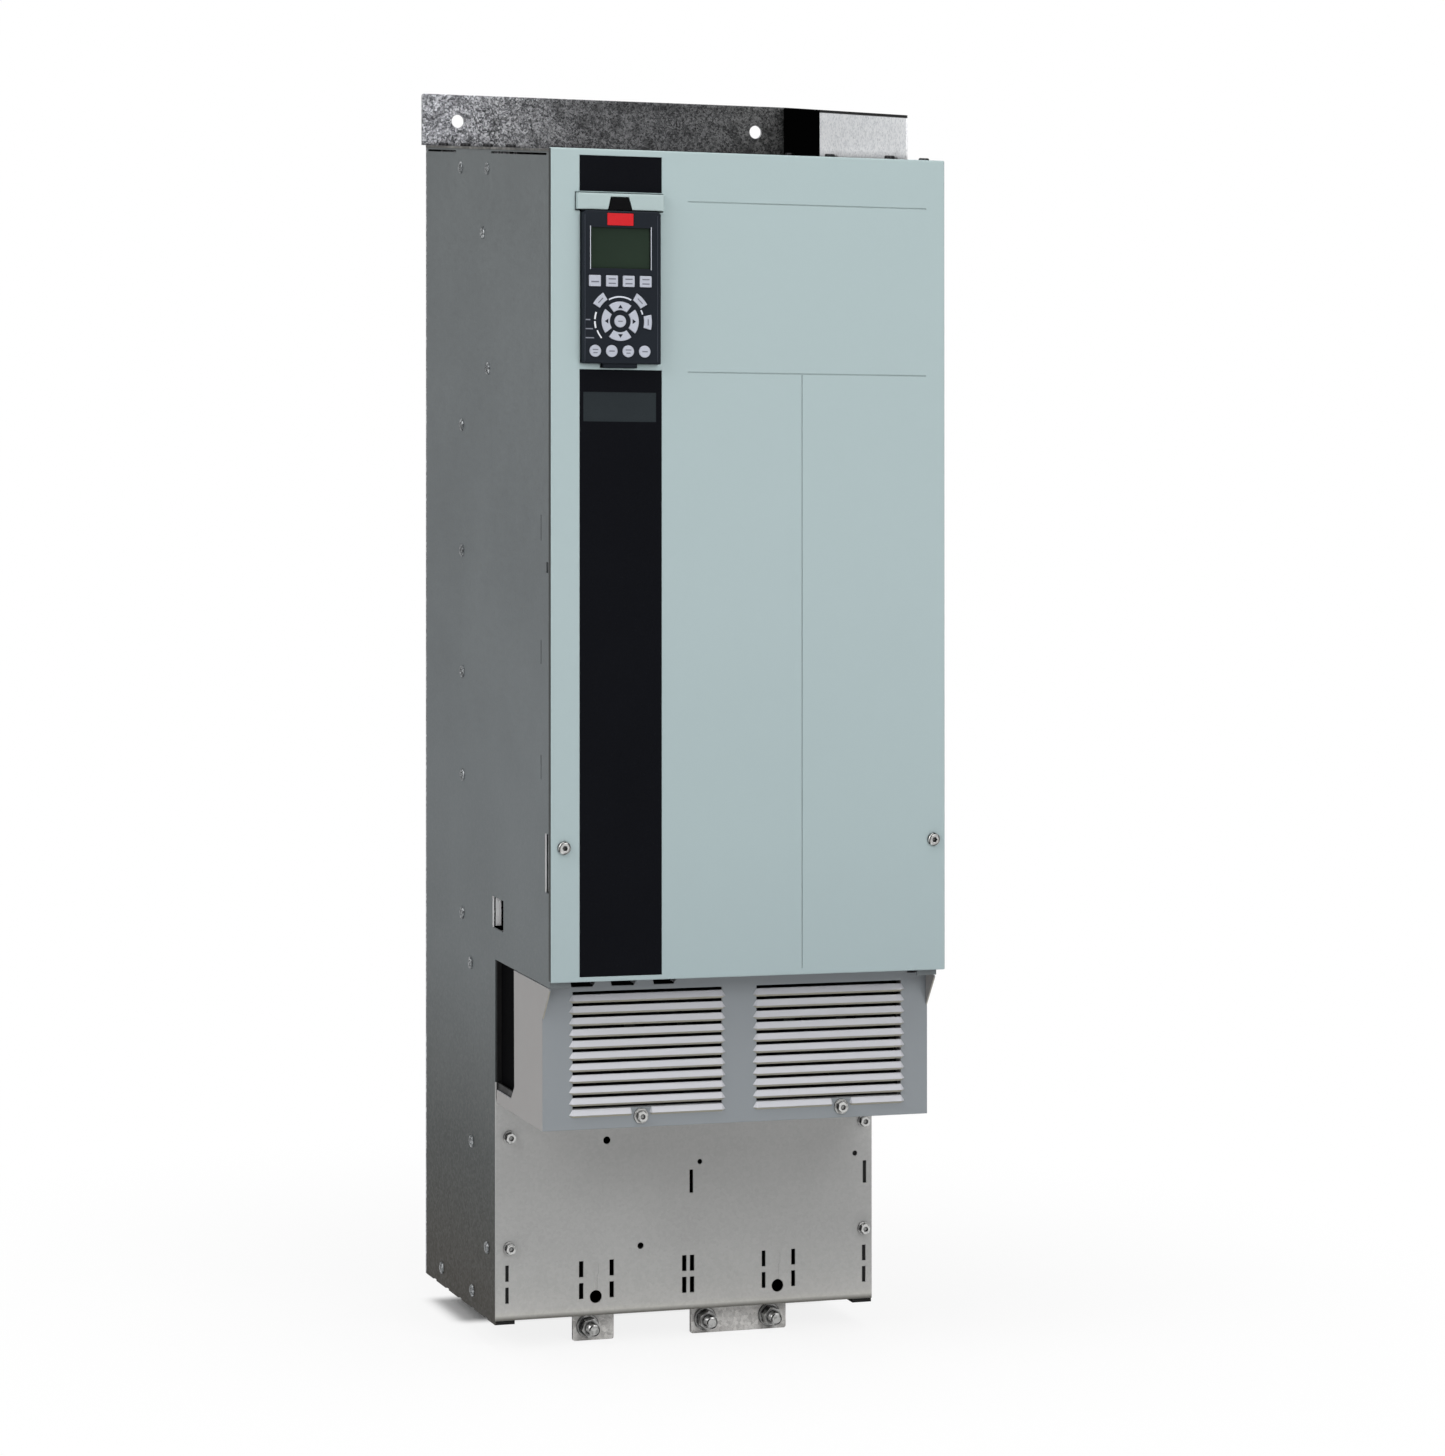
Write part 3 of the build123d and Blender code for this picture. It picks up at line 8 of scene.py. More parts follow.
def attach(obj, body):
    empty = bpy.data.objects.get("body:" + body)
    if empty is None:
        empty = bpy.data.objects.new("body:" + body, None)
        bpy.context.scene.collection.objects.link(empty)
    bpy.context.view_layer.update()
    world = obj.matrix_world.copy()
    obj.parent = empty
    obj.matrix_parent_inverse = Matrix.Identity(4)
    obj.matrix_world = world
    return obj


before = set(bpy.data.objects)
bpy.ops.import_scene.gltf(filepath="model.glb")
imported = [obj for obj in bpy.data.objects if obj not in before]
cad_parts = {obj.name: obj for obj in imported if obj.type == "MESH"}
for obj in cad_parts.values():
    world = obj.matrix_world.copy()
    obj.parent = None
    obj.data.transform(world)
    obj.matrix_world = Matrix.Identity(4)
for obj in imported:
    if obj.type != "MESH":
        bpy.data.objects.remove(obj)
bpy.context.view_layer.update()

DRAWING_Y = 0.17705     # frame y = drawing y + this, metres

scene = bpy.context.scene
MATERIALS = {}          # material name -> material


# ------------------------------------------------------------------ shader building blocks
class Mat:
    """A Principled material; `colour` is the surface colour laid down so far."""

    def __init__(self, name):
        self.material = bpy.data.materials.new(name)
        self.material.use_nodes = True
        self.nodes = self.material.node_tree.nodes
        self.links = self.material.node_tree.links
        self.bsdf = self.nodes["Principled BSDF"]
        self.coords = self.nodes.new("ShaderNodeTexCoord").outputs["Object"]
        self.surface_normal = None
        self.colour = None
        MATERIALS[name] = self.material

    def feed(self, socket, value):
        """Link a socket, or set a number, vector or colour."""
        if isinstance(value, bpy.types.NodeSocket):
            self.links.new(value, socket)
        elif socket.type == "RGBA":
            socket.default_value = (*value, 1)
        else:
            socket.default_value = value

    def node(self, kind, **inputs):
        node = self.nodes.new("ShaderNode" + kind)
        for key, value in inputs.items():
            self.feed(node.inputs[key.replace("_", " ")], value)
        return node

    # arithmetic
    def calc(self, operation, a, b=0.0, c=None, clamp=False):
        node = self.node("Math")
        node.operation = operation
        node.use_clamp = clamp
        for i, value in enumerate((a, b) if c is None else (a, b, c)):
            self.feed(node.inputs[i], value)
        return node.outputs[0]

    def add(self, a, b):
        return self.calc("ADD", a, b)

    def mul(self, a, b):
        return self.calc("MULTIPLY", a, b)

    def inverse(self, value):
        return self.calc("SUBTRACT", 1.0, value)

    def wave(self, value, pitch):
        return self.calc("SINE", self.mul(value, 2 * math.pi / pitch))

    def step(self, value, lo, hi):
        """Smooth rise from 0 at lo to 1 at hi; falls instead when lo > hi."""
        node = self.node("MapRange", From_Min=lo, From_Max=hi, Value=value)
        node.interpolation_type = "SMOOTHSTEP"
        node.clamp = True
        return node.outputs["Result"]

    # patterns
    def stretched(self, scale):
        return self.node("Mapping", Scale=scale, Vector=self.coords).outputs["Vector"]

    def noise(self, scale, detail=2, rough=0.5, vector=None, out="Fac"):
        node = self.node("TexNoise", Scale=scale, Detail=detail, Roughness=rough,
                         Vector=vector or self.coords)
        return node.outputs[out]

    def voronoi(self, scale, out, feature="F1", vector=None):
        node = self.node("TexVoronoi", Scale=scale, Vector=vector or self.coords)
        node.feature = feature
        return node.outputs[out]

    def cells(self, scale, vector=None):
        """Cells, each with its own random grey."""
        return self.grey(self.voronoi(scale, "Color", vector=vector))

    def grey(self, colour):
        node = self.node("SeparateColor")
        self.feed(node.inputs[0], colour)
        return node.outputs[0]

    def ramp(self, value, stops):
        """Colour ramp; each stop is (position, grey or RGB)."""
        node = self.node("ValToRGB", Fac=value)
        elements = node.color_ramp.elements
        while len(elements) > 1:
            elements.remove(elements[-1])
        for i, (position, colour) in enumerate(stops):
            if not isinstance(colour, tuple):
                colour = (colour,) * 3
            element = elements[0] if i == 0 else elements.new(position)
            element.position = position
            element.color = (*colour, 1)
        return node.outputs["Color"]

    # where a point lies and which way it faces
    def part(self, i, vector):
        node = self.node("SeparateXYZ", Vector=vector)
        return node.outputs[i]

    def axis(self, i):
        return self.part(i, self.coords)

    def normal(self, i):
        return self.part(i, self.node("NewGeometry").outputs["True Normal"])

    def within(self, x=None, y=None, z=None, soft=0.0003):
        """1 inside the given box, 0 outside; a None limit is open."""
        mask = None
        for i, span in enumerate((x, y, z)):
            if span is None:
                continue
            along = self.axis(i)
            for is_upper, limit in enumerate(span):
                if limit is None:
                    continue
                side = self.step(along, lo=limit - soft, hi=limit + soft)
                if is_upper:
                    side = self.inverse(side)
                mask = side if mask is None else self.mul(mask, side)
        return mask

    def bevel(self, radius):
        node = self.node("Bevel", Radius=radius)
        node.samples = 4
        return node.outputs["Normal"]

    def edges(self, radius):
        """1 along sharp edges, 0 on the flats."""
        rounded = self.bevel(radius)
        node = self.node("VectorMath")
        node.operation = "DOT_PRODUCT"
        self.feed(node.inputs[0], rounded)
        self.feed(node.inputs[1], self.node("NewGeometry").outputs["Normal"])
        return self.calc("MULTIPLY", self.inverse(node.outputs["Value"]), 4.0, clamp=True)

    # colour layers
    def mix(self, factor, a, b, mode="MIX"):
        node = self.node("Mix")
        node.data_type = "RGBA"
        node.blend_type = mode
        for socket, value in ((node.inputs["Factor"], factor), (node.inputs[6], a),
                              (node.inputs[7], b)):
            self.feed(socket, value)
        return node.outputs[2]

    def mottle(self, base, low, high, scale, detail=4, rough=0.6):
        """Start with the base colour, clouded between low and high times its brightness."""
        clouds = self.noise(scale, detail, rough)
        self.colour = self.mix(clouds, scaled(base, low), scaled(base, high))

    def lay(self, colour, mask, amount=None):
        if amount is not None:
            mask = self.mul(mask, amount)
        self.colour = self.mix(mask, self.colour, colour)

    def shaded(self, stops, value):
        return self.mix(1.0, self.colour, self.ramp(value, stops), "MULTIPLY")

    def shade_by_height(self, stops):
        """Multiply by a ramp over the height; position 1 is at 1.1 m."""
        self.colour = self.shaded(stops, self.mul(self.axis(2), 1.0 / 1.1))

    def paint_shade_in_corners(self, colour, reach, lo, hi):
        # painted shade: darkens towards the given colour where ambient occlusion finds corners,
        # creases and spots under things
        node = self.node("AmbientOcclusion", Distance=reach)
        node.samples = 5
        self.colour = self.mix(self.step(node.outputs["AO"], lo, hi), colour, self.colour)

    # relief
    def soften(self, radius):
        """Shade edges as if rounded; bumps go on top of it."""
        self.surface_normal = self.bevel(radius)

    def bump(self, height, strength, distance):
        node = self.node("Bump", Strength=strength, Distance=distance, Height=height)
        if self.surface_normal is not None:
            self.feed(node.inputs["Normal"], self.surface_normal)
        self.surface_normal = node.outputs["Normal"]

    def finish(self, rough, metal=0.0, ior=None, specular=None):
        values = {"Base Color": self.colour, "Roughness": rough, "Metallic": metal, "IOR": ior,
                  "Specular IOR Level": specular, "Normal": self.surface_normal}
        for key, value in values.items():
            if value is not None:
                self.feed(self.bsdf.inputs[key], value)

    def varied(self, pattern, span, start):
        return self.add(self.mul(pattern, span), start)


def srgb(*channels):
    """8-bit sRGB to linear."""
    def linear(c):
        c /= 255.0
        return c / 12.92 if c <= 0.04045 else ((c + 0.055) / 1.055) ** 2.4
    return tuple(linear(c) for c in channels)


def scaled(colour, factor):
    return tuple(min(1.0, c * factor) for c in colour)


# ------------------------------------------------------------------ kinds of material
def powder_coat(name, rgb, rough, patchy_edge_lightening=0.3, grain=1.0, specular=0.35,
                by_height=None, skirt=None, facing=None):
    base = srgb(*rgb)
    m = Mat(name)
    m.soften(radius=0.0008)
    m.mottle(base, low=0.965, high=1.035, scale=2.3, rough=0.55)
    m.lay(scaled(base, 0.78), m.noise(scale=1400), amount=0.12)
    specks = m.ramp(m.voronoi(260, "Distance"), [(0.0, 1.0), (0.045, 1.0), (0.07, 0.0), (1.0, 0.0)])
    m.lay(scaled(base, 0.55), m.grey(specks), amount=0.06)
    if by_height:
        m.shade_by_height(by_height)
    if skirt:
        # the narrow turned-back edges at either side sit in their own shadow
        sideways = m.calc("ABSOLUTE", m.normal(0))
        far_out = m.step(m.calc("ABSOLUTE", m.axis(0)), lo=0.1786, hi=0.1792)
        m.lay(skirt, m.mul(m.step(sideways, lo=0.6, hi=0.85), far_out))
    if facing:
        # painted light and shade: faces turned up are painted paler, as if lit from above, those
        # turned down or sideways painted warmer and darker
        m.lay(srgb(*facing["side"]), m.step(m.calc("ABSOLUTE", m.normal(0)), lo=0.75, hi=0.9))
        upward = m.normal(2)
        m.lay(srgb(*facing["up"]), m.step(upward, lo=0.12, hi=0.35))
        m.lay(srgb(*facing["down"]), m.step(m.mul(upward, -1.0), lo=0.3, hi=0.6))
        # no light reaches the rear faces inside the closed terminal box
        m.lay((0.006,) * 3, m.step(m.normal(1), lo=0.4, hi=0.7))
    # the edges are lighter in patches
    patches = m.ramp(m.noise(scale=60, detail=4, rough=0.6), [(0.45, 0.0), (0.62, patchy_edge_lightening)])
    m.lay(scaled(base, 1.25), m.calc("MULTIPLY", m.edges(radius=0.0012), patches, clamp=True))
    # painted shade in corners and creases
    m.paint_shade_in_corners(scaled(base, 0.25), reach=0.004, lo=0.1, hi=0.6)
    m.bump(m.noise(scale=900), strength=0.16 * grain, distance=0.00025)
    m.bump(m.noise(scale=5.0), strength=0.05, distance=0.003)
    gloss = m.noise(scale=35, detail=3, rough=0.6)
    m.finish(m.varied(gloss, span=0.12, start=rough - 0.06), ior=1.45, specular=specular)


# Painted shade: spaces inside the cabinet where the sheet is painted near black, as little light
# reaches them
CHANNEL = dict(x=(-0.1773, 0.1733), y=(-0.0192, 0.1754), z=(None, 0.3375))      # cooling channel
TERMINALS = dict(x=(-0.1773, 0.1733), y=(-0.0856, -0.0192), z=(0.2155, 0.3425))  # behind the cover
# Bent tongues at the rear edges of the side panels' openings; their front faces get a painted
# highlight
TONGUES = (dict(y=(-0.0142, -0.0112), z=(0.364, 0.393)),
           dict(y=(-0.1527, -0.1504), z=(0.4165, 0.4658)))


def galvanised(name, tones, size, rough, metal, contrast, by_height=None, across=None,
               streak=0.0, fine=0.0, etched=False, inside=True, edge=0.45, tongues=False,
               rim=None, spread=0.38):
    """Zinc-coated sheet: crystals of two sizes, each with its own tone, fine grain, painted shade
    in corners and painted highlights on edges.

    tones: dark, mid and light sRGB. size: crystals per metre. spread: ramp half-width.
    """
    dark, mid, light = (srgb(*tone) for tone in tones)
    m = Mat(name)
    m.soften(radius=0.0005)
    node = m.node("VectorMath")
    node.operation = "MULTIPLY_ADD"
    for i, value in enumerate((m.noise(scale=size * 0.45, out="Color"), (1.1 / size,) * 3,
                               m.coords)):
        m.feed(node.inputs[i], value)
    warped = node.outputs[0]
    big = m.cells(size, warped)
    small = m.cells(size * 3.1, warped)
    clouds = m.noise(scale=7, detail=5, rough=0.6)
    tone = m.add(m.mul(big, 0.55 * contrast), m.mul(small, 0.25 * contrast))
    tone = m.add(tone, m.mul(clouds, 0.45))
    tone = m.add(tone, -0.12 + 0.4 * (1 - contrast))    # keeps the mean tone near the middle
    if fine:
        grain = m.noise(scale=2600, rough=0.7)
        tone = m.add(tone, m.calc("MULTIPLY_ADD", grain, fine, -0.5 * fine))
    m.colour = m.ramp(tone, [(0.5 - spread, dark), (0.5, mid), (0.5 + spread, light)])
    if etched:
        # dark pits and bright crystals standing out of the fine grain
        pits = m.noise(scale=1100, rough=0.6)
        m.lay(scaled(dark, 0.35), m.step(pits, lo=0.44, hi=0.30))
        m.lay(scaled(light, 1.25), m.step(pits, lo=0.56, hi=0.70), amount=0.75)
        stains = m.step(m.noise(scale=70, detail=3, rough=0.55), lo=0.5, hi=0.36)
        m.lay(scaled(dark, 0.6), stains, amount=0.45)
        # thin dark crystal borders, broken up by a slow noise
        distance = m.voronoi(95, "Distance", feature="DISTANCE_TO_EDGE", vector=warped)
        border = m.inverse(m.step(distance, lo=0.0, hi=0.045))
        gate = m.step(m.noise(scale=26, detail=4, rough=0.6), lo=0.48, hi=0.66)
        m.lay(scaled(dark, 0.25), m.mul(border, gate), amount=0.9)
    if by_height:
        m.shade_by_height(by_height)
    if across:
        # painted reflection: front faces above the top plate are multiplied by a ramp across x;
        # ramp position 0 is at x = -0.2
        forward = m.step(m.mul(m.normal(1), -1.0), lo=0.5, hi=0.8)
        mask = m.mul(forward, m.step(m.axis(2), lo=1.0398, hi=1.0402))
        m.lay(m.shaded(across, m.add(m.axis(0), 0.2)), mask)
    if streak:
        upright = m.stretched((1.0, 1.0, 0.03))
        m.lay(dark, m.noise(scale=40, detail=3, vector=upright), amount=streak)
    # painted highlight along sharp edges, painted shade in corners
    m.lay(light, m.edges(radius=0.0009), amount=edge)
    m.paint_shade_in_corners(scaled(dark, 0.12), reach=0.003, lo=0.1, hi=0.65)
    # painted shade: sheet inside the cabinet's dark spaces is painted near black and loses its
    # metal sheen
    if inside:
        m.lay((0.004,) * 3, m.within(**CHANNEL))
        m.lay((0.010,) * 3, m.within(**TERMINALS))
        hidden = m.calc("MAXIMUM", m.within(**CHANNEL), m.within(**TERMINALS))
        metal = m.mul(m.inverse(hidden), metal)
    if tongues:
        # painted highlight: only the tongues' front faces are painted near white, as if lit through
        # the openings
        forward = m.step(m.mul(m.normal(1), -1.0), lo=0.6, hi=0.85)
        tongue = m.calc("MAXIMUM", *(m.within(**box) for box in TONGUES))
        tongue = m.mul(tongue, forward)
        m.lay((0.93, 0.93, 0.94), tongue)
        metal = m.mul(m.inverse(tongue), metal)
    if rim:
        # painted shade: the folded top edge of the upright sheet is painted dark above z = slope *
        # y + height
        slope, height = rim
        line = m.calc("MULTIPLY_ADD", m.axis(1), slope, height)
        over = m.calc("SUBTRACT", m.axis(2), line)
        m.lay((0.02,) * 3, m.step(over, lo=-0.0004, hi=0.0004))
    m.bump(small, strength=0.06, distance=0.0002)
    m.bump(m.noise(scale=600), strength=0.05, distance=0.0002)
    m.bump(m.noise(scale=3.0), strength=0.10, distance=0.004)
    m.finish(m.varied(big, span=0.16, start=rough - 0.08), metal, ior=1.5, specular=0.25)


def zinc(name, base, rough, bright):
    """Plated fasteners: painted reflections, dark and bright bands that follow the way the surface
    turns.
    """
    m = Mat(name)
    m.soften(radius=0.0004)
    m.mottle(base, low=0.62, high=1.15, scale=90)
    # painted reflections: bands set by the surface normal
    turn = m.add(m.mul(m.normal(0), 8.0), m.mul(m.normal(2), -5.0))
    bands = m.calc("SINE", m.add(turn, m.mul(m.noise(scale=260, rough=0.55), 4.2)))
    m.lay(scaled(base, 0.08), m.step(bands, lo=-0.2, hi=-0.8))
    m.lay(bright, m.step(bands, lo=0.35, hi=0.95))
    # painted highlight along the edges, painted shade in corners
    m.lay(scaled(bright, 1.3), m.edges(radius=0.0005), amount=0.4)
    m.lay(scaled(base, 0.4), m.ramp(m.noise(scale=240), [(0.58, 0.0), (0.75, 0.35)]))
    m.paint_shade_in_corners((0.006, 0.006, 0.007), reach=0.0035, lo=0.42, hi=0.94)
    # painted shade: fasteners above the top plate are painted dark
    m.lay((0.035, 0.035, 0.037), m.step(m.axis(2), lo=1.0400, hi=1.0405))
    m.bump(m.noise(scale=700), strength=0.12, distance=0.0002)
    m.finish(m.varied(m.noise(scale=150), span=0.22, start=rough - 0.08), metal=0.92)


def plastic(name, rgb, rough, grain, strength, distance, high, specular, edge,
            leather=False, panel=None):
    base = srgb(*rgb)
    m = Mat(name)
    m.soften(radius=0.0004)
    m.mottle(base, low=0.88, high=high, scale=12)
    m.lay(scaled(base, 1.6), m.ramp(m.noise(scale=grain * 1.7), [(0.5, 0.0), (0.72, 0.16)]))
    # painted highlight along edges, painted shade in corners
    m.lay(scaled(base, edge), m.edges(radius=0.0006), amount=0.35)
    m.paint_shade_in_corners(scaled(base, 0.3), reach=0.0014, lo=0.1, hi=0.7)
    if panel:
        # a rectangle of another colour
        tone = srgb(*panel["rgb"])
        mask = m.within(x=panel["x"], z=panel["z"], soft=0.0002)
        clouds = m.noise(scale=25, detail=3)
        m.lay(m.mix(clouds, scaled(tone, 0.9), scaled(tone, 1.15)), mask)
    if leather:
        m.bump(m.voronoi(grain, "Distance"), strength, distance)
        m.bump(m.noise(scale=grain * 2.3), strength * 0.5, distance * 0.6)
    else:
        m.bump(m.noise(scale=grain, detail=3, rough=0.6), strength, distance)
    gloss = m.noise(scale=60, detail=3, rough=0.6)
    m.finish(m.varied(gloss, span=0.15, start=rough - 0.07), ior=1.46, specular=specular)


def plain_metal(name, rgb, rough, lines):
    """Bare metal with upright drawing lines."""
    base = srgb(*rgb)
    m = Mat(name)
    m.soften(radius=0.0004)
    m.mottle(base, low=0.8, high=1.12, scale=25)
    # painted highlight along edges, painted shade in corners
    m.lay(scaled(base, 1.5), m.edges(radius=0.0006), amount=0.4)
    m.paint_shade_in_corners(scaled(base, 0.2), reach=0.003, lo=0.1, hi=0.6)
    m.bump(m.noise(scale=900, vector=m.stretched((1, 1, 0.02))), strength=lines, distance=0.0002)
    m.bump(m.noise(scale=400), strength=0.06, distance=0.0002)
    m.finish(m.varied(m.noise(scale=70), span=0.2, start=rough - 0.1), metal=0.9)


def circuit_board(name, rgb):
    """Solder mask with upright and level copper tracks under it, and round pads."""
    base = srgb(*rgb)
    m = Mat(name)
    upright = m.step(m.wave(m.axis(0), pitch=0.0025), lo=0.55, hi=0.8)
    level = m.step(m.wave(m.axis(2), pitch=0.0031), lo=0.55, hi=0.8)
    tracks = m.mix(m.calc("GREATER_THAN", m.cells(55), 0.5), upright, level)
    m.mottle(base, low=0.8, high=1.25, scale=14)
    m.lay(scaled(base, 1.7), m.grey(tracks), amount=0.35)
    pads = m.inverse(m.step(m.voronoi(330, "Distance"), lo=0.16, hi=0.22))
    m.lay((0.55, 0.52, 0.42), pads, amount=0.8)
    m.bump(m.grey(tracks), strength=0.12, distance=0.0001)
    rough = m.calc("MULTIPLY_ADD", m.noise(scale=80), 0.15, 0.28)
    m.finish(rough, ior=1.5, specular=0.4)


def display_glass(name, dot_pitch=0.0009):
    """Dark green window with a faint dot grid."""
    m = Mat(name)
    columns, rows = (m.wave(m.axis(i), dot_pitch) for i in (0, 2))
    dots = m.calc("MULTIPLY_ADD", m.mul(columns, rows), 0.25, 0.5)
    m.colour = m.mix(dots, srgb(30, 40, 33), srgb(38, 50, 41))
    m.lay(srgb(42, 54, 44), m.noise(scale=14, detail=3))
    # painted shade in the window's corners
    m.paint_shade_in_corners(srgb(8, 9, 9), reach=0.0016, lo=0.1, hi=0.7)
    m.bump(m.noise(scale=30), strength=0.02, distance=0.001)
    rough = m.calc("MULTIPLY_ADD", m.noise(scale=50, detail=3, rough=0.6), 0.08, 0.10)
    m.finish(rough, ior=1.5, specular=0.1)


# ------------------------------------------------------------------ the materials
# Ramps of painted light and shade: (position, grey or RGB factor); by_height positions are z / 1.1
# m
# painted shade: the cover darkens slightly towards the bottom; its side skirts get a painted shadow
powder_coat("cover_powder_coat", (166, 182, 184), rough=0.52, skirt=(0.035, 0.038, 0.038),
            by_height=[(0.30, (0.90, 0.90, 0.91)), (0.42, (0.96, 0.965, 0.965)), (0.60, 1.0),
                       (0.95, (0.99, 1.0, 0.99))])
powder_coat("keypad_cradle_powder_coat", (166, 182, 182), rough=0.5)
powder_coat("terminal_cover_powder_coat", (134, 139, 143), rough=0.42, patchy_edge_lightening=0.5, grain=1.3,
            specular=0.4,
            facing=dict(up=(190, 191, 197), down=(150, 147, 134), side=(146, 144, 143)))

# painted shade: the side panels darken and turn warmer towards the bottom; their tongues get a
# painted highlight
galvanised("side_panel_galvanised", ((101, 105, 107), (117, 122, 124), (133, 138, 140)),
           size=420, rough=0.5, metal=0.4, contrast=0.3, streak=0.05, fine=0.25, tongues=True,
           by_height=[(0.0, (0.22, 0.18, 0.135)), (0.036, (0.25, 0.205, 0.16)),
                      (0.10, (0.29, 0.275, 0.245)), (0.145, (0.34, 0.34, 0.32)),
                      (0.19, (0.52, 0.52, 0.50)), (0.30, (0.86, 0.87, 0.87)),
                      (0.45, (0.95, 0.96, 0.97)), (0.75, 1.0), (1.0, (0.99, 0.985, 0.97))])
galvanised("top_plate_galvanised", ((70, 70, 70), (118, 117, 114), (165, 164, 160)),
           size=140, rough=0.4, metal=0.6, contrast=0.8, fine=0.25)
# painted shade and light: a dark line just above the top plate and a lighter band at the top edge;
# across paints a reflection that darkens the front above the top plate towards the right
galvanised("rear_panel_spangle", ((58, 59, 62), (150, 151, 155), (226, 227, 230)),
           size=620, rough=0.42, metal=0.5, contrast=0.8, fine=1.0, etched=True, spread=0.24,
           by_height=[(0.0, 1), (0.944, 1), (0.9456, 0.35), (0.9490, 0.85), (0.9560, 1.08),
                      (0.975, 1.05), (0.9860, 0.86), (0.9872, 1.35)],
           across=[(0.0, (1.06, 1.06, 1.08)), (0.045, (0.98, 0.98, 1.0)), (0.09, 0.80),
                   (0.13, 0.50), (0.17, 0.27), (0.24, 0.22), (0.46, (0.215, 0.215, 0.20)),
                   (1.0, (0.22, 0.22, 0.21))])
# painted light: the right top flange is a much paler copy of the spangle, as it stands in bright
# light; painted shade at its foot on the top plate
galvanised("top_flange_spangle", ((196, 199, 203), (242, 244, 246), (255, 255, 255)),
           size=520, rough=0.5, metal=0.0, contrast=0.7, fine=0.5, rim=(0.0224, 1.0800),
           by_height=[(0.0, 1), (0.9455, 0.30), (0.9480, 0.62), (0.9525, 1),
                      (1.0, (1.06, 1.07, 1.08))])
# darker along the bottom edge, with a painted highlight just above it; painted light towards the
# top makes up for the louvred cover's shadow
galvanised("lower_plate_galvanised", ((148, 148, 147), (166, 166, 165), (182, 182, 181)),
           size=380, rough=0.5, metal=0.3, contrast=0.3, fine=0.18, streak=0.05,
           by_height=[(0.0, (0.2, 0.19, 0.17)), (0.0243, (0.22, 0.21, 0.18)),
                      (0.0250, (1.5, 1.48, 1.38)), (0.03, (1.28, 1.27, 1.25)),
                      (0.05, (1.12, 1.12, 1.11)), (0.08, 1.03), (0.13, 1.03), (0.165, 1.18),
                      (0.20, 1.3), (1.0, 1.3)])
galvanised("earth_bar_galvanised", ((176, 174, 171), (218, 216, 213), (250, 248, 245)),
           size=300, rough=0.42, metal=0.2, contrast=0.7, fine=0.4, inside=False)
galvanised("inner_sheet_galvanised", ((90, 92, 94), (130, 132, 133), (165, 167, 168)),
           size=120, rough=0.45, metal=0.6, contrast=0.8)
# blind rivets: a strong painted highlight on their edges
galvanised("blind_rivet_steel", ((50, 52, 54), (104, 108, 110), (220, 223, 225)),
           size=500, rough=0.35, metal=0.5, contrast=0.9, inside=False, edge=0.75)

zinc("zinc_plated_fasteners", (0.40, 0.40, 0.39), rough=0.30, bright=(0.62, 0.62, 0.61))
# painted shade: the terminal bolts sit in the dark space behind the louvred cover and are painted
# near black
zinc("terminal_bolts_in_painted_shade", (0.03,) * 3, rough=0.5, bright=(0.05,) * 3)
plastic("black_grained_inlay", (14, 15, 19), rough=0.62, grain=520, strength=0.35,
        distance=0.0003, high=1.25, specular=0.03, edge=2.2, leather=True,
        panel=dict(x=(-0.1509, -0.0858), z=(0.8126, 0.8374), rgb=(42, 47, 50)))

# name, sRGB, roughness, grain scale, bump strength, bump distance,
# brightest mottle, specular level, painted edge highlight
for row in (
    ("keypad_housing_plastic", (29, 33, 39), 0.45, 700, 0.10, 0.0002, 1.25, 0.07, 1.8),
    ("key_cap_plastic", (176, 180, 191), 0.5, 800, 0.06, 0.0002, 1.05, 0.15, 1.1),
    ("black_moulded_plastic", (16, 16, 18), 0.45, 450, 0.12, 0.0002, 1.25, 0.15, 2.2),
    ("matt_black_barrier", (7, 7, 8), 0.8, 450, 0.12, 0.0002, 1.25, 0.02, 1.6),
    ("latch_plastic", (8, 8, 10), 0.5, 450, 0.12, 0.0002, 1.25, 0.06, 2.2),
    # a near-black matt pad on the right top flange
    ("matt_near_black_pad", (4, 4, 4), 0.95, 900, 0.6, 0.0006, 1.25, 0.0, 2.2),
    ("varnished_core_and_coil", (72, 52, 40), 0.45, 200, 0.3, 0.0004, 1.25, 0.3, 2.2),
    ("light_guide_plastic", (214, 217, 222), 0.3, 500, 0.05, 0.0002, 1.25, 0.2, 2.2),
    ("red_enamel_badge", (196, 26, 34), 0.35, 600, 0.06, 0.0002, 1.08, 0.25, 1.3),
    # white print, also used for the painted highlights beside the display
    ("white_print_and_highlight", (206, 210, 220), 0.5, 900, 0.05, 0.0002, 1.03, 0.1, 1.0),
    ("dark_print", (34, 36, 44), 0.6, 900, 0.05, 0.0002, 1.1, 0.05, 1.0),
    ("key_legend_print", (112, 114, 124), 0.6, 900, 0.05, 0.0002, 1.1, 0.05, 1.0),
    # painted highlight strips along the keypad's chamfer edges
    ("keypad_rim_highlight", (70, 75, 84), 0.5, 900, 0.05, 0.0002, 1.1, 0.1, 1.1),
    ("faint_print", (128, 132, 142), 0.5, 900, 0.05, 0.0002, 1.05, 0.1, 1.0),
):
    plastic(*row)

plain_metal("extruded_aluminium", (176, 179, 181), rough=0.38, lines=0.2)
plain_metal("tinned_copper_bar", (196, 170, 140), rough=0.35, lines=0.1)
circuit_board("green_circuit_board", (22, 84, 46))
display_glass("display_window")

